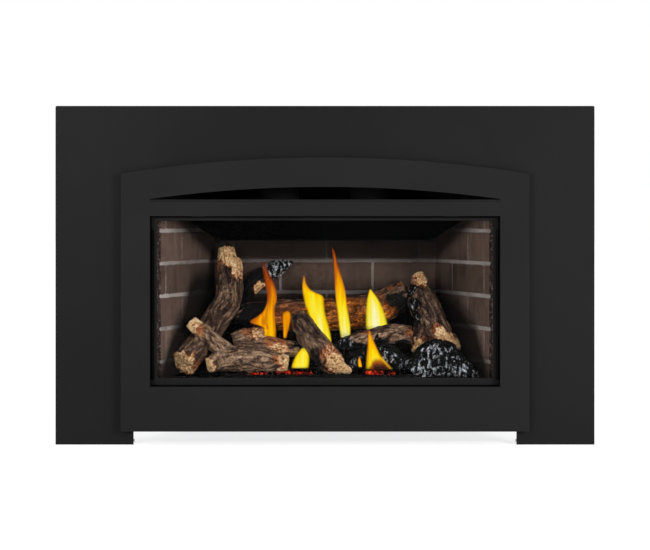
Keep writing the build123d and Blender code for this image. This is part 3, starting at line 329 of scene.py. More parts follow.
def liner_brick():
    """Moulded fibre liner painted as brick, its joints and tones held in point attributes."""
    made, tree, shader = material("liner_brick", Roughness=0.9, Specular_IOR_Level=0.05)
    place = object_place(tree)
    axes = node(tree, "SeparateXYZ", {0: place})
    depth = compute(tree, "SUBTRACT", axes.outputs["Y"], wall_y)
    streak = noise(tree, stretched(tree, place, 75.0, 75.0, 11.0), 1.0, 5.0, 0.62)
    cloud = noise(tree, place, 8.0, 3.0, 0.6)
    mottle = noise(tree, place, 42.0, 5.0, 0.7)
    clay = summed(tree, (streak, 0.38), (mottle, 0.36), (attribute(tree, "tone"), 0.26))
    brick = ramp(tree, clay, (0.22, "#45372f"), (0.42, "#68554c"), (0.6, "#826b60"), (0.8, "#9c8677"))
    brick = wash(tree, brick, step(tree, cloud, 0.52, 0.8), "#352a27")
    scuff = step(tree, noise(tree, place, 60.0, 5.0, 0.75), 0.6, 0.72)
    brick = wash(tree, brick, scuff, "#8a7d76", 0.5)
    paste = ramp(tree, noise(tree, place, 16.0, 4.0), (0.25, "#857c78"), (0.5, "#b5aca7"), (0.75, "#cdc5c0"))
    # painted shade: mortar and bricks darker deeper in the firebox
    deeper_shade = step(tree, depth, 0.03, 0.24)
    paste = wash(tree, paste, deeper_shade, "#3c322e", 0.5)
    brick = wash(tree, brick, deeper_shade, "#2a201c", 0.45)
    edge = compute(tree, "ADD", attribute(tree, "joint"), centred(tree, noise(tree, place, 160.0), 0.22))
    wall = blend(tree, step(tree, edge, 0.06, -0.04), brick, paste)
    speckle = noise(tree, place, 190.0, 3.0, 0.7)
    core = ramp(tree, speckle, (0.34, "#17100e"), (0.5, "#3c2e2a"), (0.61, "#6e5b53"), (0.74, "#a8968c"))
    front_edge = step(tree, depth, 0.0062, 0.0056)
    wall = blend(tree, compute(tree, "MAXIMUM", attribute(tree, "rim"), front_edge), wall, core)
    # painted shade: darker low down, shadows behind the logs and under the baffle
    wall = wash(tree, wall, liner_painted_shade(tree, axes, depth, cloud), "#0a0706")
    bump = node(tree, "Bump", {"Strength": 0.5, "Distance": 0.0012, "Height": streak})
    feed(tree, shader, Base_Color=wall, Normal=bump.outputs["Normal"])
    return made


def log_timber():
    """Painted ceramic timber: bark, split faces, char and ash from point attributes, and painted glow of the
    flames' light.
    """
    made, tree, shader = material("log_timber", Roughness=0.88, Specular_IOR_Level=0.12,
                                  Emission_Strength=1.0)
    grain = node(tree, "Attribute", attribute_name="grain").outputs["Vector"]
    place = object_place(tree)
    streak = noise(tree, stretched(tree, grain, 4.4, 4.4, 4.0), 1.0, 4.0, 0.7)
    hair = noise(tree, stretched(tree, grain, 7.5, 7.5, 6.5), 1.0, 3.0, 0.65)
    crumb = noise(tree, place, 210.0, 4.0, 0.65)
    value = summed(tree, (attribute(tree, "relief"), 0.22), (streak, 0.36), (hair, 0.31), (crumb, 0.19))
    bark = ramp(tree, value, (0.385, "#0c0807"), (0.468, "#261b16"), (0.523, "#44332a"), (0.573, "#6a5241"),
                (0.63, "#a5856a"), (0.71, "#d9b999"))
    warm = step(tree, noise(tree, place, 18.0, 2.0), 0.45, 0.7)
    bark = wash(tree, bark, warm, "#4a2f20", 0.25)
    fibre = noise(tree, stretched(tree, grain, 4.2, 4.2, 1.5), 1.0, 3.0, 0.6)
    cut = summed(tree, (value, 0.4), (fibre, 0.4), (crumb, 0.2))
    split = ramp(tree, cut, (0.38, "#24140c"), (0.43, "#79502f"), (0.475, "#ba8854"), (0.53, "#e2bb87"),
                 (0.6, "#f9e7c6"))
    rust = ramp(tree, cut, (0.38, "#1c0d06"), (0.47, "#6e371b"), (0.55, "#ad6031"), (0.65, "#d99a60"))
    frayed = compute(tree, "ADD", centred(tree, streak, 1.1), centred(tree, crumb, 0.7))
    ragged = compute(tree, "ADD", attribute(tree, "bare"), frayed)
    colour = blend(tree, step(tree, ragged, 0.2, 0.42), bark, rust)
    colour = blend(tree, step(tree, ragged, 0.5, 0.7), colour, split)
    coal = ramp(tree, value, (0.45, "#030303"), (0.62, "#0d0c0d"), (0.78, "#242325"))
    burnt = summed(tree, (frayed, 0.6), (attribute(tree, "burnt"), 1.0))
    colour = blend(tree, step(tree, burnt, 0.35, 0.6), colour, coal)
    dusted = attribute(tree, "ashen")
    white = placed(tree, ash, {"Vector": stretched(tree, place, 165.0, 165.0, 66.0), "Amount": dusted})
    ash_colour = ramp(tree, crumb, (0.35, "#393d43"), (0.5, "#80858b"), (0.64, "#dee0e2"))
    colour = blend(tree, white.outputs["Mask"], colour, ash_colour)
    # painted glow: the flames' light on the logs, tinting their colour and given back as emission
    flame_lit = attribute(tree, "flame_glow")
    flame_glow = times(tree, flame_lit, step(tree, cut, 0.44, 0.64))
    colour = wash(tree, colour, flame_lit, "#4e2a12", 0.6)
    glow = ramp(tree, flame_glow, (0.0, "#000000"), (0.3, "#44200a"), (0.65, "#964a0a"), (1.0, "#f09420"))
    bump = node(tree, "Bump", {"Strength": 0.8, "Distance": 0.0015, "Height": cut})
    feed(tree, shader, Base_Color=colour, Emission_Color=glow, Normal=bump.outputs["Normal"])
    return made


def glowing_ember():
    """Fibre embers: black crust over red and orange."""
    made, tree, shader = material("glowing_ember", Roughness=0.95, Specular_IOR_Level=0.1,
                                  Emission_Strength=1.0)
    place = object_place(tree)
    grains = noise(tree, place, 230.0, 3.0, 0.7)
    wide = noise(tree, place, 34.0, 2.0)
    both = summed(tree, (grains, 0.6), (wide, 0.5))
    glow = ramp(tree, both, (0.5, "#000000"), (0.55, "#5c0a02"), (0.6, "#b81a06"), (0.66, "#f84a0e"),
                (0.74, "#ffb850"))
    feed(tree, shader, Base_Color=ramp(tree, both, (0.4, "#050505"), (0.7, "#2a0a04")), Emission_Color=glow)
    return made


def flame_gas():
    """Yellow gas flame: thin at its sides, paler where it is hottest."""
    made, tree, shader = material("flame_gas", Base_Color=(0, 0, 0, 1), Roughness=1.0,
                                  Specular_IOR_Level=0.0, Emission_Strength=1.0)
    lick = noise(tree, stretched(tree, object_place(tree), 170.0, 30.0, 13.0), 1.0, 1.0)
    warmth = compute(tree, "ADD", attribute(tree, "warmth"), centred(tree, lick, 0.45))
    colour = ramp(tree, warmth, (0.0, "#7a2c0a"), (0.14, "#b8560c"), (0.3, "#e38c00"), (0.45, "#ffb600"),
                  (0.6, "#ffdc00"), (0.78, "#ffec3c"), (0.92, "#fff79a"), (1.0, "#fffde0"))
    cool = attribute(tree, "blue")
    colour = wash(tree, colour, step(tree, cool, 0.0, 0.55), "#b45f12")
    colour = wash(tree, colour, step(tree, cool, 0.4, 1.1), "#1e1019")
    feed(tree, shader, Emission_Color=colour, Alpha=attribute(tree, "veil"))
    made.surface_render_method = "BLENDED"
    return made


def braided_rope():
    """Glass-fibre rope of the door's seal."""
    made, tree, shader = material("gasket_rope", Roughness=0.95)
    weave = node(tree, "TexWave", {"Vector": object_place(tree), "Scale": 130.0, "Distortion": 1.5},
                 bands_direction="DIAGONAL").outputs["Fac"]
    bump = node(tree, "Bump", {"Strength": 0.6, "Distance": 0.001, "Height": weave})
    feed(tree, shader, Base_Color=ramp(tree, weave, (0.2, "#2b2b2a"), (0.8, "#4d4c49")),
         Normal=bump.outputs["Normal"])
    return made


def clear_glass():
    """Ceramic glass, all but clear when faced, with a faint haze and more gloss when seen aslant."""
    made, tree, shader = material("clear_glass", Metallic=0.0, IOR=1.5, Transmission_Weight=0.0)
    haze = noise(tree, object_place(tree), 7.0, 4.0)
    aslant = node(tree, "LayerWeight", {"Blend": 0.25}).outputs["Fresnel"]
    feed(tree, shader, Base_Color=ramp(tree, haze, (0.3, "#0c0e10"), (0.7, "#131517")),
         Roughness=between(tree, haze, 0.03, 0.06), Alpha=between(tree, aslant, 0.02, 0.4))
    return made


# coats: dark and light colour, roughness where dull and where glossy, scale of the tones, then the scale and
# depth of the ripple where they aren't the usual ones, and last the shader's plain values
matt = {"Specular_IOR_Level": 0.08}
coats = {
    "surround_black": (("#131313", "#161616", 0.55, 0.5, 2.0), matt),
    "faceplate_black": (("#171717", "#1a1a1a", 0.55, 0.5, 3.0), matt),
    "door_black": (("#111111", "#151515", 0.55, 0.45, 8.0), matt),
    "firebox_black": (("#080808", "#0f0e0e", 0.85, 0.7, 14.0, 600.0, 0.2), matt),
    "baffle_black": (("#010101", "#020202", 0.95, 0.85, 12.0), {"Specular_IOR_Level": 0.0}),
    "burner_black": (("#060505", "#0e0c0b", 0.9, 0.8, 20.0, 500.0, 0.25), {"Specular_IOR_Level": 0.1}),
    "zinc_screws": (("#8f9698", "#a9aeae", 0.4, 0.28, 60.0), {"Metallic": 0.9}),
    "spring_steel": (("#161718", "#232425", 0.5, 0.38, 40.0), {"Metallic": 0.4, "Specular_IOR_Level": 0.2}),
    "magnet_steel": (("#45484a", "#5b5e60", 0.5, 0.4, 30.0), {"Metallic": 0.8}),
    "brass_fittings": (("#a8853f", "#c4a255", 0.38, 0.26, 50.0), {"Metallic": 0.95}),
    "valve_body": (("#85888a", "#9b9e9f", 0.55, 0.45, 40.0, 400.0, 0.4), {"Metallic": 0.7}),
    "knob_plastic": (("#141414", "#1c1c1c", 0.5, 0.38, 30.0, 700.0, 0.1), {}),
    "button_red": (("#8c1510", "#a01d15", 0.4, 0.3, 60.0), {"Coat_Weight": 0.4}),
    "impeller_metal": (("#9a9d9f", "#b4b7b8", 0.42, 0.3, 30.0), {"Metallic": 0.9}),
    "motor_black": (("#1d1e20", "#292a2c", 0.5, 0.4, 30.0, 500.0, 0.3), {}),
}
finishes = {name: coated(name, *row, **plain) for name, (row, plain) in coats.items()}
finishes.update(galvanised=galvanised_steel("galvanised"), liner_brick=liner_brick(),
                door_glass=clear_glass(), gasket_rope=braided_rope(), ember=glowing_ember(),
                log_bark=log_timber())
finishes["log_char"] = finishes["log_bark"]
flame_finish = flame_gas()

casing_finish = galvanised_steel("galvanised_casing", "inside")
collar_finish = galvanised_steel("galvanised_collar", "below")
own_finish = {"casing_" + side: casing_finish for side in ("base", "left_side", "right_side", "back", "top")}
own_finish.update(exhaust_collar=collar_finish, intake_collar=collar_finish)
for entry in frame["record"]["subparts"]:
    solid = frame["nodes"][entry["node"]]
    solid.data.materials.clear()
    solid.data.materials.append(own_finish.get(entry["node"], finishes[entry["material_slot"]]))


# ---- pieces
def add_piece(name, mesh, finish, body="insert", nodes=(), smooth=True):
    """Object for a finished mesh, with its material, its body and the nodes it stands for."""
    piece = into_scene(name, mesh)
    mesh.materials.clear()
    mesh.materials.append(finish)
    if smooth:
        mesh.shade_smooth()
    else:
        mesh.shade_flat()
    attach(piece, body)
    if nodes:
        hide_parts(*nodes)


def mesh_from(bm, name):
    """Mesh of a bmesh, its faces turned outwards."""
    mesh = bpy.data.meshes.new(name)
    bmesh.ops.recalc_face_normals(bm, faces=bm.faces)
    bm.to_mesh(mesh)
    bm.free()
    return mesh


def value_layers(bm, *names):
    """New layers of point values on a bmesh."""
    return [bm.verts.layers.float.new(name) for name in names]


def edges_between(bm, verts):
    """Edges that have both ends among the verts."""
    return [edge for edge in bm.edges if all(vert in verts for vert in edge.verts)]


def write_attribute(mesh, name, values, kind="FLOAT"):
    """Point attribute on a mesh from an array."""
    made = mesh.attributes.new(name, kind, "POINT")
    key = "value" if kind == "FLOAT" else "vector"
    made.data.foreach_set(key, np.asarray(values, dtype=np.float32).ravel())


def point_vectors(mesh, key):
    """Array of a vector of each point of a mesh, such as its place or its normal."""
    flat = np.empty(len(mesh.vertices) * 3)
    mesh.vertices.foreach_get(key, flat)
    return flat.reshape(-1, 3)


# ---- value noise on arrays of points
axis_primes = (374761393, 668265263, 362437)
seed_prime = 974711
hash_rounds = ((13, 1274126177), (15, 2246822519))
hash_bits = 0xffffffff
value_bits = 0xffff
layer_zoom = 2.03  # each layer of noise is this much finer
layer_shift = 17.3  # and moved this far


def corner_value(cell, seed):
    """Random value from 0 to 1 for each lattice corner, from a hash of its whole numbers."""
    mixed = sum(cell[:, axis] * prime for axis, prime in enumerate(axis_primes)) + seed * seed_prime
    mixed = mixed & hash_bits
    for shift, prime in hash_rounds:
        mixed = ((mixed ^ (mixed >> shift)) * prime) & hash_bits
    return ((mixed ^ (mixed >> 16)) & value_bits) / value_bits


def lattice_noise(points, seed):
    """Smooth noise from 0 to 1, one lattice cell to a unit."""
    base = np.floor(points).astype(np.int64)
    f = points - base
    f = f * f * (3 - 2 * f)
    total = np.zeros(len(points))
    for corner in np.ndindex(2, 2, 2):
        offset = np.array(corner)
        weight = np.prod(np.where(offset == 1, f, 1 - f), axis=1)
        total += weight * corner_value(base + offset, seed)
    return total


def layered_noise(points, seed, layers=3, gain=0.5):
    """Noise from 0 to 1 in layers, each finer and weaker than the last."""
    total = np.zeros(len(points))
    share = 0.0
    for k in range(layers):
        total += gain ** k * lattice_noise(points * layer_zoom ** k + layer_shift * k, seed + k)
        share += gain ** k
    return total / share


def rise(value, start, end):
    """Smooth step between two thresholds."""
    t = np.clip((value - start) / (end - start), 0, 1)
    return t * t * (3 - 2 * t)


# ---- smooth lines through marks
def continued(marks):
    """The marks with one more at each end, in line with the last two."""
    return np.vstack([2 * marks[0] - marks[1], marks, 2 * marks[-1] - marks[-2]])


def through(a, b, c, d, t):
    """Smooth line from b to c as t goes from 0 to 1, bent towards a and d."""
    return 0.5 * (2 * b + (c - a) * t + (2 * a - 5 * b + 4 * c - d) * t ** 2
                  + (3 * b - a - 3 * c + d) * t ** 3)


# ---- logs
timber_voxel = 1.9 * MM
limb_steps = 9  # points of a limb from one station to the next
least_radius = 4.0 * MM
sideways = (0.12, 1.0, 0.07)  # the grain's coordinates round a limb start from this direction
limb_merge = 14.0  # how quickly one limb's grain gives way to the next one's
limb_shift = 31.7  # keeps the noise of one limb apart from the next one's
ring_spread = 6.0 * MM  # width of one furrow round a limb
grain_length = 26.0 * MM  # length of one furrow along a limb

# cells of each pattern to a furrow: across it, across it and along it
furrow_cells = (0.7, 0.7, 0.6)
ridge_cells = (1.25, 1.25, 1.5)
splinter_cells = (1.6, 1.6, 0.05)

# cell sizes of the patterns that don't follow the grain
wander_cell = 20.0 * MM
wander_reach = np.array([1.5, 1.5, 0.4])  # how far the grain wanders, in furrows
ragged_cell = 7.0 * MM
lump_cell = 26.0 * MM
crack_cell = 13.0 * MM
gravel_cell = 5.5 * MM

# heights and depths of the relief
lump_height = 4.2 * MM
furrow_depth = 2.2 * MM
ridge_height = 3.0 * MM
gravel_height = 1.6 * MM
splinter_zone = 9.0 * MM  # splinters stand this near to a limb's end
splinter_length = 7.0 * MM
patch_fade = (1.3, 0.75)  # shares of a patch's radius between which it grows to its full strength


def limb_run(stations):
    """Smooth run of points and radii, in metres, through stations in millimetres."""
    marks = continued(np.array([list(spot(x, y, h)) + [r * MM] for x, y, h, r in stations]))
    run = []
    for i in range(len(marks) - 3):
        run += [through(*marks[i:i + 4], k / limb_steps) for k in range(limb_steps)]
    return np.array(run + [marks[-2]])


def evaluated_mesh(thing):
    """Mesh of an object as its modifiers or its curve's bevel make it."""
    return bpy.data.meshes.new_from_object(thing.evaluated_get(bpy.context.evaluated_depsgraph_get()))


def fused_tubes(name, runs):
    """Mesh of round limbs grown together, in even small faces."""
    curve = bpy.data.curves.new(name, "CURVE")
    curve.dimensions = "3D"
    curve.bevel_depth = 1.0
    curve.bevel_resolution = 6
    curve.use_fill_caps = True
    for run in runs:
        line = curve.splines.new("POLY")
        line.points.add(len(run) - 1)
        for point, (x, y, z, r) in zip(line.points, run):
            point.co = (x, y, z, 1)
            point.radius = r
    tubes = into_scene(name, curve)
    raw = into_scene(name, evaluated_mesh(tubes))
    fuse = raw.modifiers.new("fused", "REMESH")
    fuse.mode = "VOXEL"
    fuse.voxel_size = timber_voxel
    mesh = evaluated_mesh(raw)
    bpy.data.objects.remove(tubes)
    bpy.data.objects.remove(raw)
    return mesh


def limb_coordinates(points, run):
    """Nearness to a limb's middle line, place in its grain, distance from its nearer end and the way out."""
    middles = run[:, :3]
    runs = np.gradient(middles, axis=0)
    runs /= np.linalg.norm(runs, axis=1, keepdims=True)
    travelled = np.concatenate([[0], np.cumsum(np.linalg.norm(np.diff(middles, axis=0), axis=1))])
    apart = np.linalg.norm(points[:, None] - middles, axis=2)
    nearest = np.argmin(apart / np.maximum(run[:, 3], least_radius), axis=1)
    along = runs[nearest]
    offset = points - middles[nearest]
    ahead = np.sum(offset * along, axis=1)
    radial = offset - ahead[:, None] * along
    side = np.cross(along, sideways)
    side /= np.linalg.norm(side, axis=1, keepdims=True)
    upper = np.cross(along, side)
    past = travelled[nearest] + ahead
    grain = np.stack([np.sum(radial * side, axis=1) / ring_spread,
                      np.sum(radial * upper, axis=1) / ring_spread, past / grain_length], axis=1)
    from_end = np.minimum(past, travelled[-1] - past)
    outward = np.where((past < travelled[-1] / 2)[:, None], -along, along)
    return np.linalg.norm(radial, axis=1) / run[nearest, 3], grain, from_end, outward


def patch_mask(points, patches, ragged):
    """Mask of round patches (x, y, h, radius, strength) with ragged edges."""
    total = np.zeros(len(points))
    for x, y, h, radius, strength in patches:
        apart = np.linalg.norm(points - np.array(spot(x, y, h)), axis=1) / (radius * MM)
        total = np.maximum(total, strength * rise(apart + ragged, *patch_fade))
    return total


def timber(name, node_name, limbs, seed, bare=(), burnt=(), ashen=(), flame_glow=(), rough=1.0, crack=1.6,
           pale=0.0):
    """Ceramic log: limbs grown together, furrowed along the grain, splintered at the ends."""
    runs = [limb_run(stations) for stations in limbs]
    mesh = fused_tubes(name, runs)
    points = point_vectors(mesh, "co")
    normals = point_vectors(mesh, "normal")
    found = [limb_coordinates(points, run) for run in runs]
    nearness = np.stack([f[0] for f in found])
    weights = np.exp(-limb_merge * (nearness - nearness.min(axis=0)))
    weights /= weights.sum(axis=0)
    wander = (layered_noise(points / wander_cell, seed + 50, 2) - 0.5)[:, None] * wander_reach
    ragged = (layered_noise(points / ragged_cell, seed + 60, 3) - 0.5) * 1.3
    lumps = layered_noise(points / lump_cell, seed + 70, 2) - 0.5
    furrow = np.zeros(len(points))
    ridge = np.zeros(len(points))
    thrust = np.zeros_like(points)
    for i, (_, grain, from_end, outward) in enumerate(found):
        place = grain + wander + limb_shift * i
        line = np.abs(2 * lattice_noise(place * furrow_cells, seed) - 1)
        furrow += weights[i] * np.exp(-(line / 0.2) ** 2)
        ridge += weights[i] * layered_noise(place * ridge_cells, seed + 5, 3, 0.6)
        splinter = layered_noise(grain * splinter_cells, seed + 9, 2) - 0.45
        thrust += (weights[i] * rise(from_end, splinter_zone, 0.0) * splinter)[:, None] * outward
    main = np.argmax(weights, axis=0)
    grain = np.choose(main[:, None], [f[1] + limb_shift * i for i, f in enumerate(found)])
    bare_mask = patch_mask(points, bare, ragged)
    burnt_mask = patch_mask(points, burnt, ragged) * (1 - 0.9 * bare_mask)
    crackle = np.abs(2 * lattice_noise(points / crack_cell, seed + 90) - 1)
    gravel = layered_noise(points / gravel_cell, seed + 95, 2) - 0.5
    height = lump_height * lumps * rough - furrow_depth * furrow + ridge_height * (ridge - 0.5)
    height += bare_mask * gravel_height * gravel - burnt_mask * crack * MM * rise(crackle, 0.3, 0.0)
    moved = points + normals * height[:, None] + thrust * splinter_length
    mesh.vertices.foreach_set("co", moved.ravel())
    mesh.update()
    # the paint is pale on ridges and lumps, and dark in furrows
    relief = 0.55 + pale + 1.1 * (ridge - 0.5) - 0.42 * furrow + 0.3 * lumps
    write_attribute(mesh, "relief", np.clip(relief, 0, 1))
    write_attribute(mesh, "bare", bare_mask)
    write_attribute(mesh, "burnt", burnt_mask)
    write_attribute(mesh, "ashen", patch_mask(points, ashen, ragged))
    # patches of painted glow from the flames' light
    write_attribute(mesh, "flame_glow", patch_mask(points, flame_glow, ragged * 0.5))
    write_attribute(mesh, "grain", grain, "FLOAT_VECTOR")
    add_piece(name, mesh, finishes["log_bark"], nodes=[node_name])


# stations (x, behind the wall, above the deck, radius) in mm: the solids', but nearer to the photo at the
# upright's top and knot, the fork, the lean log, the rear log's right end and the right log's knob
upright_trunk = [(-289, 62, 20, 29), (-266, 95, 47, 28), (-244, 130, 76, 28), (-222, 165, 111, 28),
                 (-203, 190, 145, 29), (-201, 210, 186, 27), (-207, 225, 222, 23), (-210, 235, 252, 17)]
upright_knot = [(-204, 206, 172, 20), (-191, 208, 198, 16), (-187, 213, 220, 12), (-188, 217, 232, 7)]
branch = [(-193, 224, 126, 17), (-166, 240, 162, 20), (-140, 246, 184, 20), (-112, 246, 204, 20),
          (-88, 246, 215, 13), (-70, 246, 222, 5)]
fork_body = [(-238, 73, 15, 15), (-205, 78, 26, 25), (-162, 80, 31, 30), (-120, 78, 25, 25),
             (-78, 72, 18, 18)]
fork_twig = [(-185, 80, 30, 22), (-215, 82, 53, 20), (-247, 88, 79, 17), (-275, 95, 103, 14)]
split_stub = [(-188, 132, 62, 18), (-158, 128, 70, 21), (-128, 124, 78, 17)]
split_body = [(-170, 118, 52, 15), (-125, 112, 56, 19), (-88, 108, 49, 18), (-50, 108, 47, 15),
              (-26, 110, 53, 8)]
lean = [(-56, 130, 126, 9), (-51, 118, 107, 20), (-33, 92, 76, 26), (-7, 70, 46, 28), (16, 53, 23, 26),
        (36, 44, 10, 12)]
lean_splinter = [(12, 52, 26, 16), (32, 40, 15, 13), (44, 37, 10, 9), (52, 36, 7, 4)]
rear = [(-174, 200, 99, 24), (-158, 198, 107, 31), (-84, 196, 110, 34), (0, 196, 113, 34),
        (82, 194, 119, 35), (130, 190, 135, 34), (157, 186, 156, 31), (170, 184, 167, 23)]
right_body = [(188, 184, 176, 16), (196, 170, 158, 27), (210, 152, 126, 32), (228, 132, 90, 30),
              (252, 114, 64, 21), (268, 104, 44, 14)]
right_foot = [(206, 150, 110, 20), (196, 128, 70, 17), (190, 116, 40, 13)]
right_knob = [(190, 180, 168, 14), (197, 176, 185, 17), (206, 170, 193, 14)]
cross_body = [(22, 92, 52, 9), (50, 94, 62, 16), (88, 95, 72, 18), (130, 96, 78, 21), (176, 100, 76, 19)]
mound = [(172, 52, -4, 22), (196, 66, 12, 32), (222, 76, 26, 42), (250, 70, 22, 38), (280, 50, 8, 24),
         (306, 32, -2, 10)]
chunk = [(44, 76, 14, 15), (72, 80, 26, 24), (106, 82, 34, 30), (140, 80, 26, 26), (160, 74, 14, 18)]

# the upright's second bare patch, at the right of its cut top, is pale split wood and a painted highlight
timber("upright_timber", "left_upright_log", [upright_trunk, upright_knot], 3,
       bare=[(-209, 226, 246, 26, 1), (-198, 206, 226, 15, 0.95), (-183, 212, 228, 20, 0.68),
             (-185, 204, 206, 15, 0.64), (-190, 198, 190, 13, 0.8), (-194, 190, 172, 10, 0.62),
             (-224, 214, 216, 12, 0.45), (-290, 52, 18, 28, 1), (-262, 64, 18, 14, 0.4)])
timber("branch_timber", "back_left_branch", [branch], 11,
       bare=[(-139, 232, 168, 15, 0.8)],
       burnt=[(-176, 236, 150, 40, 0.9), (-146, 246, 186, 34, 0.9), (-98, 246, 210, 44, 1)],
       ashen=[(-98, 238, 208, 34, 1), (-78, 244, 218, 18, 0.8)])
timber("fork_timber", "front_fork_log", [fork_body, fork_twig], 19,
       bare=[(-276, 92, 104, 24, 1), (-254, 84, 86, 14, 0.42), (-244, 68, 12, 20, 1),
             (-76, 68, 20, 20, 1), (-97, 62, 30, 12, 0.4)], pale=0.22)
timber("split_timber", "middle_split_log", [split_stub, split_body], 27,
       bare=[(-132, 116, 78, 20, 0.62), (-162, 118, 86, 15, 0.35), (-98, 100, 66, 26, 0.36),
             (-96, 94, 46, 18, 0.6)],
       burnt=[(-36, 104, 54, 26, 1)],
       ashen=[(-38, 98, 56, 20, 0.8)], pale=0.17)
timber("lean_timber", "centre_lean_log", [lean, lean_splinter], 35,
       bare=[(26, 34, 22, 27, 0.72), (8, 46, 42, 18, 0.55), (46, 34, 8, 16, 1), (-55, 124, 122, 12, 0.5)],
       burnt=[(-44, 98, 86, 26, 0.4), (-22, 50, 26, 22, 0.62)], pale=0.04)
# the rear log's last patches are painted glow of the flames' light
timber("rear_timber", "rear_long_log", [rear], 43,
       bare=[(110, 168, 152, 12, 0.3), (138, 172, 168, 10, 0.3), (160, 174, 182, 10, 0.34)],
       burnt=[(-150, 185, 105, 44, 0.75), (152, 160, 132, 30, 0.6), (40, 210, 140, 60, 0.4)],
       flame_glow=[(-80, 166, 112, 30, 0.8), (-8, 164, 112, 46, 1), (52, 163, 116, 42, 1), (104, 162, 118, 30, 0.9),
            (134, 158, 110, 20, 1)])
timber("right_fork_timber", "right_fork_log", [right_body, right_foot, right_knob], 51,
       bare=[(203, 166, 191, 20, 0.7), (250, 96, 66, 18, 0.9), (258, 98, 52, 24, 1), (270, 94, 40, 18, 1),
             (197, 108, 44, 23, 0.85), (240, 98, 76, 16, 0.75), (228, 104, 88, 10, 0.45)],
       burnt=[(184, 160, 160, 17, 1), (187, 142, 134, 17, 1), (188, 132, 108, 16, 0.9)],
       ashen=[(180, 152, 164, 10, 0.9), (183, 140, 136, 9, 0.7), (186, 128, 106, 9, 0.6)])
timber("cross_timber", "right_cross_log", [cross_body], 59,
       bare=[(84, 80, 84, 10, 0.3), (172, 84, 84, 12, 0.3)],
       burnt=[(34, 86, 54, 20, 1), (66, 84, 50, 18, 0.9), (110, 82, 54, 20, 0.9), (160, 84, 56, 16, 0.7)],
       ashen=[(44, 78, 58, 18, 0.6)], rough=1.2, pale=0.11)
timber("char_timber", "char_lumps", [mound, chunk], 67,
       burnt=[(230, 60, 10, 160, 1), (100, 80, 20, 120, 1)],
       ashen=[(184, 40, 8, 15, 1), (212, 36, 6, 18, 1), (244, 36, 6, 18, 1), (272, 34, 4, 18, 1),
              (298, 28, 2, 13, 0.8), (200, 44, 44, 13, 0.9), (222, 44, 58, 14, 0.9), (196, 40, 28, 10, 0.7),
              (236, 34, 32, 16, 0.85), (262, 36, 26, 16, 0.85), (286, 34, 18, 13, 0.7),
              (247, 44, 56, 11, 0.8), (56, 60, 20, 13, 0.6), (130, 54, 38, 19, 0.85),
              (160, 62, 20, 12, 0.8), (84, 56, 36, 13, 0.6), (112, 54, 26, 16, 0.75)],
       rough=2.0, crack=3.6)


# ---- brick liner, its sizes in mm
bed_mortar = 7.5  # height of a level joint
mortar_depth = 2.5
no_joint = 99.0  # distance that stands for no joint near
joint_wander = 2.6  # the joints' edges wander this far, in cells of joint_cell
joint_cell = 9.0
joint_slope = 1.3  # a joint's side slopes over twice this
joint_scale = 10.0  # distance from a joint at which its attribute is 1
face_relief = 0.9  # the faces are uneven by this, in cells of face_cell
face_cell = 14.0
tone_seed = 5
liner_thickness = 20.0
liner_facet = 2.4
splay = math.atan(91 / 265)  # the side liners come in 91 mm over 265 mm of depth


def joint_field(u, v, first_bed, course, first_joint, brick, head_mortar, last_joint):
    """Distance in mm to the edge of the nearest mortar joint, and a random tone for each brick."""
    above = v - first_bed
    row = np.floor(above / course)
    bed = np.abs(above - course * np.round(above / course))
    start = first_joint - brick / 2 * ((row + 1) % 2)
    head = np.abs((u - start + brick / 2) % brick - brick / 2)
    head = np.where(u > last_joint, no_joint, head)
    count = np.floor((u - start) / brick)
    cells = np.stack([row, count, np.zeros_like(row)], axis=1).astype(np.int64)
    return np.minimum(bed - bed_mortar / 2, head - head_mortar / 2), corner_value(cells, tone_seed)


def liner_panel(corner, turn, length, height, skew, courses, seed):
    """Liner panel: bricks proud of ragged mortar joints, its back and edges flat."""
    bm = bmesh.new()
    joint, tone_layer, rim = value_layers(bm, "joint", "tone", "rim")
    bmesh.ops.create_grid(bm, x_segments=round(length / liner_facet), y_segments=round(height / liner_facet),
                          size=0.5)
    bmesh.ops.scale(bm, vec=(length, height, 1), verts=bm.verts)
    bmesh.ops.translate(bm, vec=(length / 2, height / 2, 0), verts=bm.verts)
    face_points = np.array([v.co for v in bm.verts])
    u, v = face_points[:, 0], face_points[:, 1]
    gap, shade = joint_field(u, v, **courses)
    flat = np.stack([u, v, np.full_like(u, seed)], axis=1)
    gap = gap + joint_wander * (layered_noise(flat / joint_cell, seed, 2) - 0.5)
    uneven = face_relief * (layered_noise(flat / face_cell, seed + 3) - 0.5)
    depth = mortar_depth * rise(gap, joint_slope, -joint_slope) + uneven
    outline = [edge for edge in bm.edges if edge.is_boundary]
    made = bmesh.ops.extrude_edge_only(bm, edges=outline)["geom"]
    behind = {g for g in made if isinstance(g, bmesh.types.BMVert)}
    bmesh.ops.contextual_create(bm, geom=edges_between(bm, behind))
    bm.verts.ensure_lookup_table()
    for i, vert in enumerate(bm.verts):
        if vert in behind:
            back = liner_thickness
            vert[joint] = 1.0
            vert[rim] = 1.0
        else:
            back = depth[i]
            vert[joint] = max(-1.0, min(1.0, gap[i] / joint_scale))
            vert[tone_layer] = shade[i]
        across, up = vert.co.x, vert.co.y
        vert.co = (across - back * skew, back, up)
    bmesh.ops.scale(bm, vec=(MM, MM, MM), verts=bm.verts)
    placing = Matrix.Translation(corner) @ Matrix.Rotation(turn, 4, "Z")
    bmesh.ops.transform(bm, matrix=placing, verts=bm.verts)
    return bm


def keep_panel(bm, name, node_name):
    """Liner panel kept as the piece that stands for a node."""
    mesh = mesh_from(bm, name)
    add_piece(name, mesh, finishes["liner_brick"], nodes=[node_name], smooth=False)


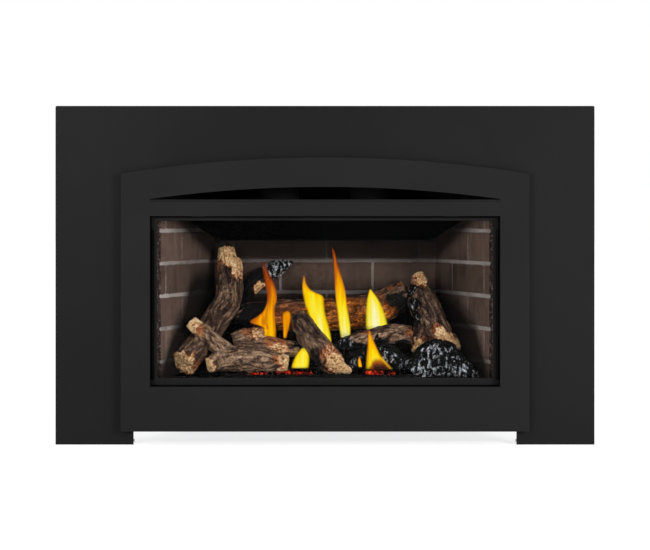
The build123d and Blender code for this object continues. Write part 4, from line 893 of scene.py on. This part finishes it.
left_low, left_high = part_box("brick_panel_left")
side_corner = Vector((left_low.x + liner_thickness * MM / math.cos(splay), left_low.y, floor_z))
side_run = (left_high.y - left_low.y) / MM / math.cos(splay)
side_height = (left_high.z - left_low.z) / MM
side_courses = {"first_bed": 41.2, "course": 65.4, "first_joint": 103 / math.cos(splay), "brick": 163,
                "head_mortar": 2.8, "last_joint": side_run - 15}


def side_liner(side, seed):
    """Left or right liner, the right one the mirror image of the left but with its own chips."""
    bm = liner_panel(side_corner, math.pi / 2 - splay, side_run, side_height, math.tan(splay), side_courses,
                     seed)
    if side == "right":
        bmesh.ops.scale(bm, vec=(-1, 1, 1), verts=bm.verts)
    keep_panel(bm, side + "_liner", "brick_panel_" + side)


side_liner("left", 39)
side_liner("right", 41)
back_low, back_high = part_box("brick_panel_back")
back_length = (back_high.x - back_low.x) / MM
back_height = (back_high.z - back_low.z) / MM
back_courses = {"first_bed": 34.3, "course": 67.7, "first_joint": back_length / 2 + 3.5, "brick": 197.5,
                "head_mortar": 5.0, "last_joint": back_length}
back_bm = liner_panel(back_low, 0.0, back_length, back_height, 0.0, back_courses, 47)
keep_panel(back_bm, "back_liner", "brick_panel_back")


# ---- embers and crumbs of char
most_turn = 6.3  # just over a full turn


def scatter(name, strips, count, sizes_mm, finish, seed, nodes=()):
    """Small rough lumps lying in strips (x from, x to, y from, y to, h)."""
    draw = random.Random(seed)
    bm = bmesh.new()
    for _ in range(count):
        x0, x1, y0, y1, h = draw.choice(strips)
        size = draw.uniform(*sizes_mm) * MM
        middle = spot(draw.uniform(x0, x1), draw.uniform(y0, y1), h) + Vector((0, 0, size * 0.5))
        place = Matrix.Translation(middle)
        turned = Matrix.Rotation(draw.uniform(0, most_turn), 4, (draw.random(), draw.random(), 1))
        shape = Matrix.Diagonal((size * draw.uniform(0.8, 1.5), size * draw.uniform(0.7, 1.2), size, 1))
        made = bmesh.ops.create_icosphere(bm, subdivisions=1, radius=1.0)["verts"]
        for vert in made:
            vert.co *= draw.uniform(0.75, 1.2)
        bmesh.ops.transform(bm, matrix=place @ turned @ shape, verts=made)
    add_piece(name, mesh_from(bm, name), finish, nodes=nodes, smooth=False)


ember_strips = [(-160, -119, 38, 54, 0), (-107, -42, 38, 54, 0), (-107, -42, 38, 54, 3),
                (-38, -26, 38, 50, 0), (82, 122, 38, 54, 0), (82, 122, 38, 54, 3), (128, 144, 38, 52, 0)]
crumb_strips = [(-196, 196, 37, 60, 0), (-196, -20, 60, 110, 0), (30, 190, 60, 120, 0),
                (-300, -215, 40, 90, -5)]
scatter("ember_lumps", ember_strips, 260, (1.6, 3.3), finishes["ember"], 8, ["ember_bed"])
scatter("char_crumbs", crumb_strips, 240, (1.8, 4.5), finishes["baffle_black"], 9)


# ---- flames
flame_ring = 20  # points round a flame
flame_rows = 34  # rings from its foot to its tip
least_half_width = 0.6  # mm
least_half_depth = 1.5  # mm
flame_flatness = 0.3  # half depth as a share of half width


def flame(name, y, rows, warm_foot, warm_tip, blue=0.0, lift=1.0):
    """Closed thin body of one flame through rows (left x, right x, height), from foot to tip."""
    marks = np.array(rows, dtype=float)
    place = np.linspace(0, len(marks) - 1, flame_rows)
    whole = np.clip(place.astype(int), 0, len(marks) - 2)
    ends = continued(marks)
    run = through(*(ends[whole + k] for k in range(4)), (place - whole)[:, None])
    foot, tip = run[0][2], run[-1][2]
    bm = bmesh.new()
    warmth, veil, cool, angle = value_layers(bm, "warmth", "veil", "blue", "angle")
    ring = bmesh.ops.create_circle(bm, cap_ends=True, segments=flame_ring, radius=1.0)["verts"]
    for i, vert in enumerate(ring):
        vert[angle] = 2 * math.pi * i / flame_ring
    for k, (left, right, h) in enumerate(run):
        if k:
            made = bmesh.ops.extrude_edge_only(bm, edges=edges_between(bm, ring))["geom"]
            ring = [g for g in made if isinstance(g, bmesh.types.BMVert)]
        t = k / (flame_rows - 1)
        half_width = max(least_half_width, (right - left) / 2)
        half_depth = max(least_half_depth, half_width * flame_flatness)
        fade = min(1.0, (1 - t) / 0.3) ** 0.8
        share = (h - foot) / max(1.0, tip - foot)
        for vert in ring:
            side = math.cos(vert[angle])
            centre = 1 - abs(side)
            vert.co = spot((left + right) / 2 + half_width * side, y + half_depth * math.sin(vert[angle]), h)
            vert[veil] = rise(centre, 0.0, 0.4) * (0.15 + 0.85 * fade) * (0.3 + 0.7 * rise(t, 0.0, 0.1))
            vert[warmth] = warm_foot + (warm_tip - warm_foot) * t ** lift + 0.34 * (centre ** 0.6 - 0.6)
            inner = rise(side, -0.9 + 1.5 * share, -0.4 + 1.5 * share) * rise(side, 0.88, 0.55)
            vert[cool] = blue * rise(share, 0.36, 0.04) * inner
    bmesh.ops.contextual_create(bm, geom=edges_between(bm, ring))
    bm.verts.layers.float.remove(angle)
    add_piece(name, mesh_from(bm, name), flame_finish)


# after the rows come the warmth at the foot and at the tip
flame("left_flame", 150, [
    (-129, -100, 64), (-130, -100.6, 83), (-129.7, -102.7, 108), (-123.5, -103.7, 128), (-121.4, -99, 145),
    (-122.4, -99.6, 162), (-125.5, -103.7, 176), (-128.7, -112, 195), (-130.7, -121.4, 214),
    (-128.7, -126.6, 227)], 0.43, -0.1)
flame("left_wisp", 146, [
    (-125, -117, 84), (-131, -117, 89), (-139, -117, 92.5), (-149, -117, 95), (-156, -118, 98),
    (-156, -118, 102.5), (-150, -118, 107), (-141, -118.5, 112), (-133, -119, 118), (-127, -119, 125),
    (-123, -119.5, 133), (-120, -119.5, 142)], 0.24, 0.2)
flame("small_flame", 150, [
    (-87, -79.8, 66), (-88, -74.6, 87), (-91, -70.5, 104), (-90, -70.5, 116), (-83, -74.6, 122)], 0.26, 0.24)
flame("middle_flame", 148, [
    (2.3, 14.7, 46), (-12.3, 13.4, 68), (-26.8, 8.4, 93), (-35, 2.4, 114), (-42.4, -0.6, 135),
    (-46.5, -2.6, 153), (-47.6, -25.5, 164), (-47.6, -37.2, 178), (-45.5, -41.4, 196)], 0.68, 0.12, lift=3)
flame("tall_flame", 130, [
    (31.2, 54, 69), (28, 53, 94), (25, 48.8, 121), (21.9, 45.7, 142), (19.8, 42.6, 167), (18.8, 36.4, 190),
    (16.7, 28, 218), (14.7, 20.9, 245), (13, 15, 256)], 0.9, -0.14)
flame("broad_flame", 122, [
    (82.4, 133.4, 86), (82.8, 127.2, 109), (83.8, 119.9, 130), (85.9, 110.6, 148), (90, 99.3, 163),
    (92, 94, 169)], 0.82, 0.42, lift=2)
flame("front_flame", 42, [
    (80.5, 138.5, 11), (81.9, 125.3, 25), (83, 113.2, 39), (85, 104, 57), (86, 96, 75), (88, 90, 90)],
    0.7, 0.26, blue=1.0)
flame("front_left_flame", 66, [
    (-70, -32.3, 11), (-64.8, -30.7, 27), (-56.7, -32.3, 41), (-47.5, -38.4, 52)], 0.7, 0.6)
flame("front_wisp", 44, [(66.8, 75.5, 15), (66.4, 72.9, 27), (67.9, 69.9, 35)], 0.5, 0.3)


# ---- world, floor and light
floor_half_width = 30.0
look_at = Vector((0.0, 0.0, 0.25))


def seen_directly(tree):
    """Mask of rays from the camera, through clear glass and from a reflection."""
    path = node(tree, "LightPath")
    seen = compute(tree, "MAXIMUM", path.outputs["Is Camera Ray"], path.outputs["Is Transmission Ray"])
    return compute(tree, "MAXIMUM", seen, path.outputs["Is Glossy Ray"])


def white_world():
    """Pale light all round, and plain white where the camera, a reflection or clear glass looks past."""
    world = bpy.data.worlds.new("white_world")
    world.use_nodes = True
    tree = world.node_tree
    tree.nodes.clear()
    light = node(tree, "Background", {"Color": (1, 1, 1, 1), "Strength": 0.5})
    white = node(tree, "Background", {"Color": (1, 1, 1, 1), "Strength": 1.0})
    mixed = node(tree, "MixShader", {0: seen_directly(tree), 1: light.outputs[0], 2: white.outputs[0]})
    out = tree.nodes.new("ShaderNodeOutputWorld")
    tree.links.new(mixed.outputs[0], out.inputs["Surface"])
    bpy.context.scene.world = world


def pale_floor():
    """Wide pale floor, white to the camera but for the object's shadow."""
    bm = bmesh.new()
    bmesh.ops.create_grid(bm, x_segments=1, y_segments=1, size=floor_half_width)
    floor = into_scene("floor", mesh_from(bm, "floor"))
    made, tree, shader = material("floor_paper", Base_Color=tint("#e6e6e6"), Roughness=0.9,
                                  Specular_IOR_Level=0.0, Emission_Color=(1, 1, 1, 1))
    feed(tree, shader, Emission_Strength=times(tree, seen_directly(tree), 0.7))
    floor.data.materials.append(made)


def soft_light(name, place, width, watts):
    """Soft square light that looks at the insert."""
    data = bpy.data.lights.new(name, "AREA")
    data.size = width
    data.energy = watts
    lamp = into_scene(name, data)
    lamp.location = place
    lamp.rotation_euler = (look_at - Vector(place)).to_track_quat("-Z", "Y").to_euler()


white_world()
pale_floor()
soft_light("key", place=(2.1, -3.0, 0.95), width=0.8, watts=72)
soft_light("fill", place=(-1.5, -3.2, 0.8), width=1.0, watts=38)

bpy.context.scene.view_settings.view_transform = "Standard"
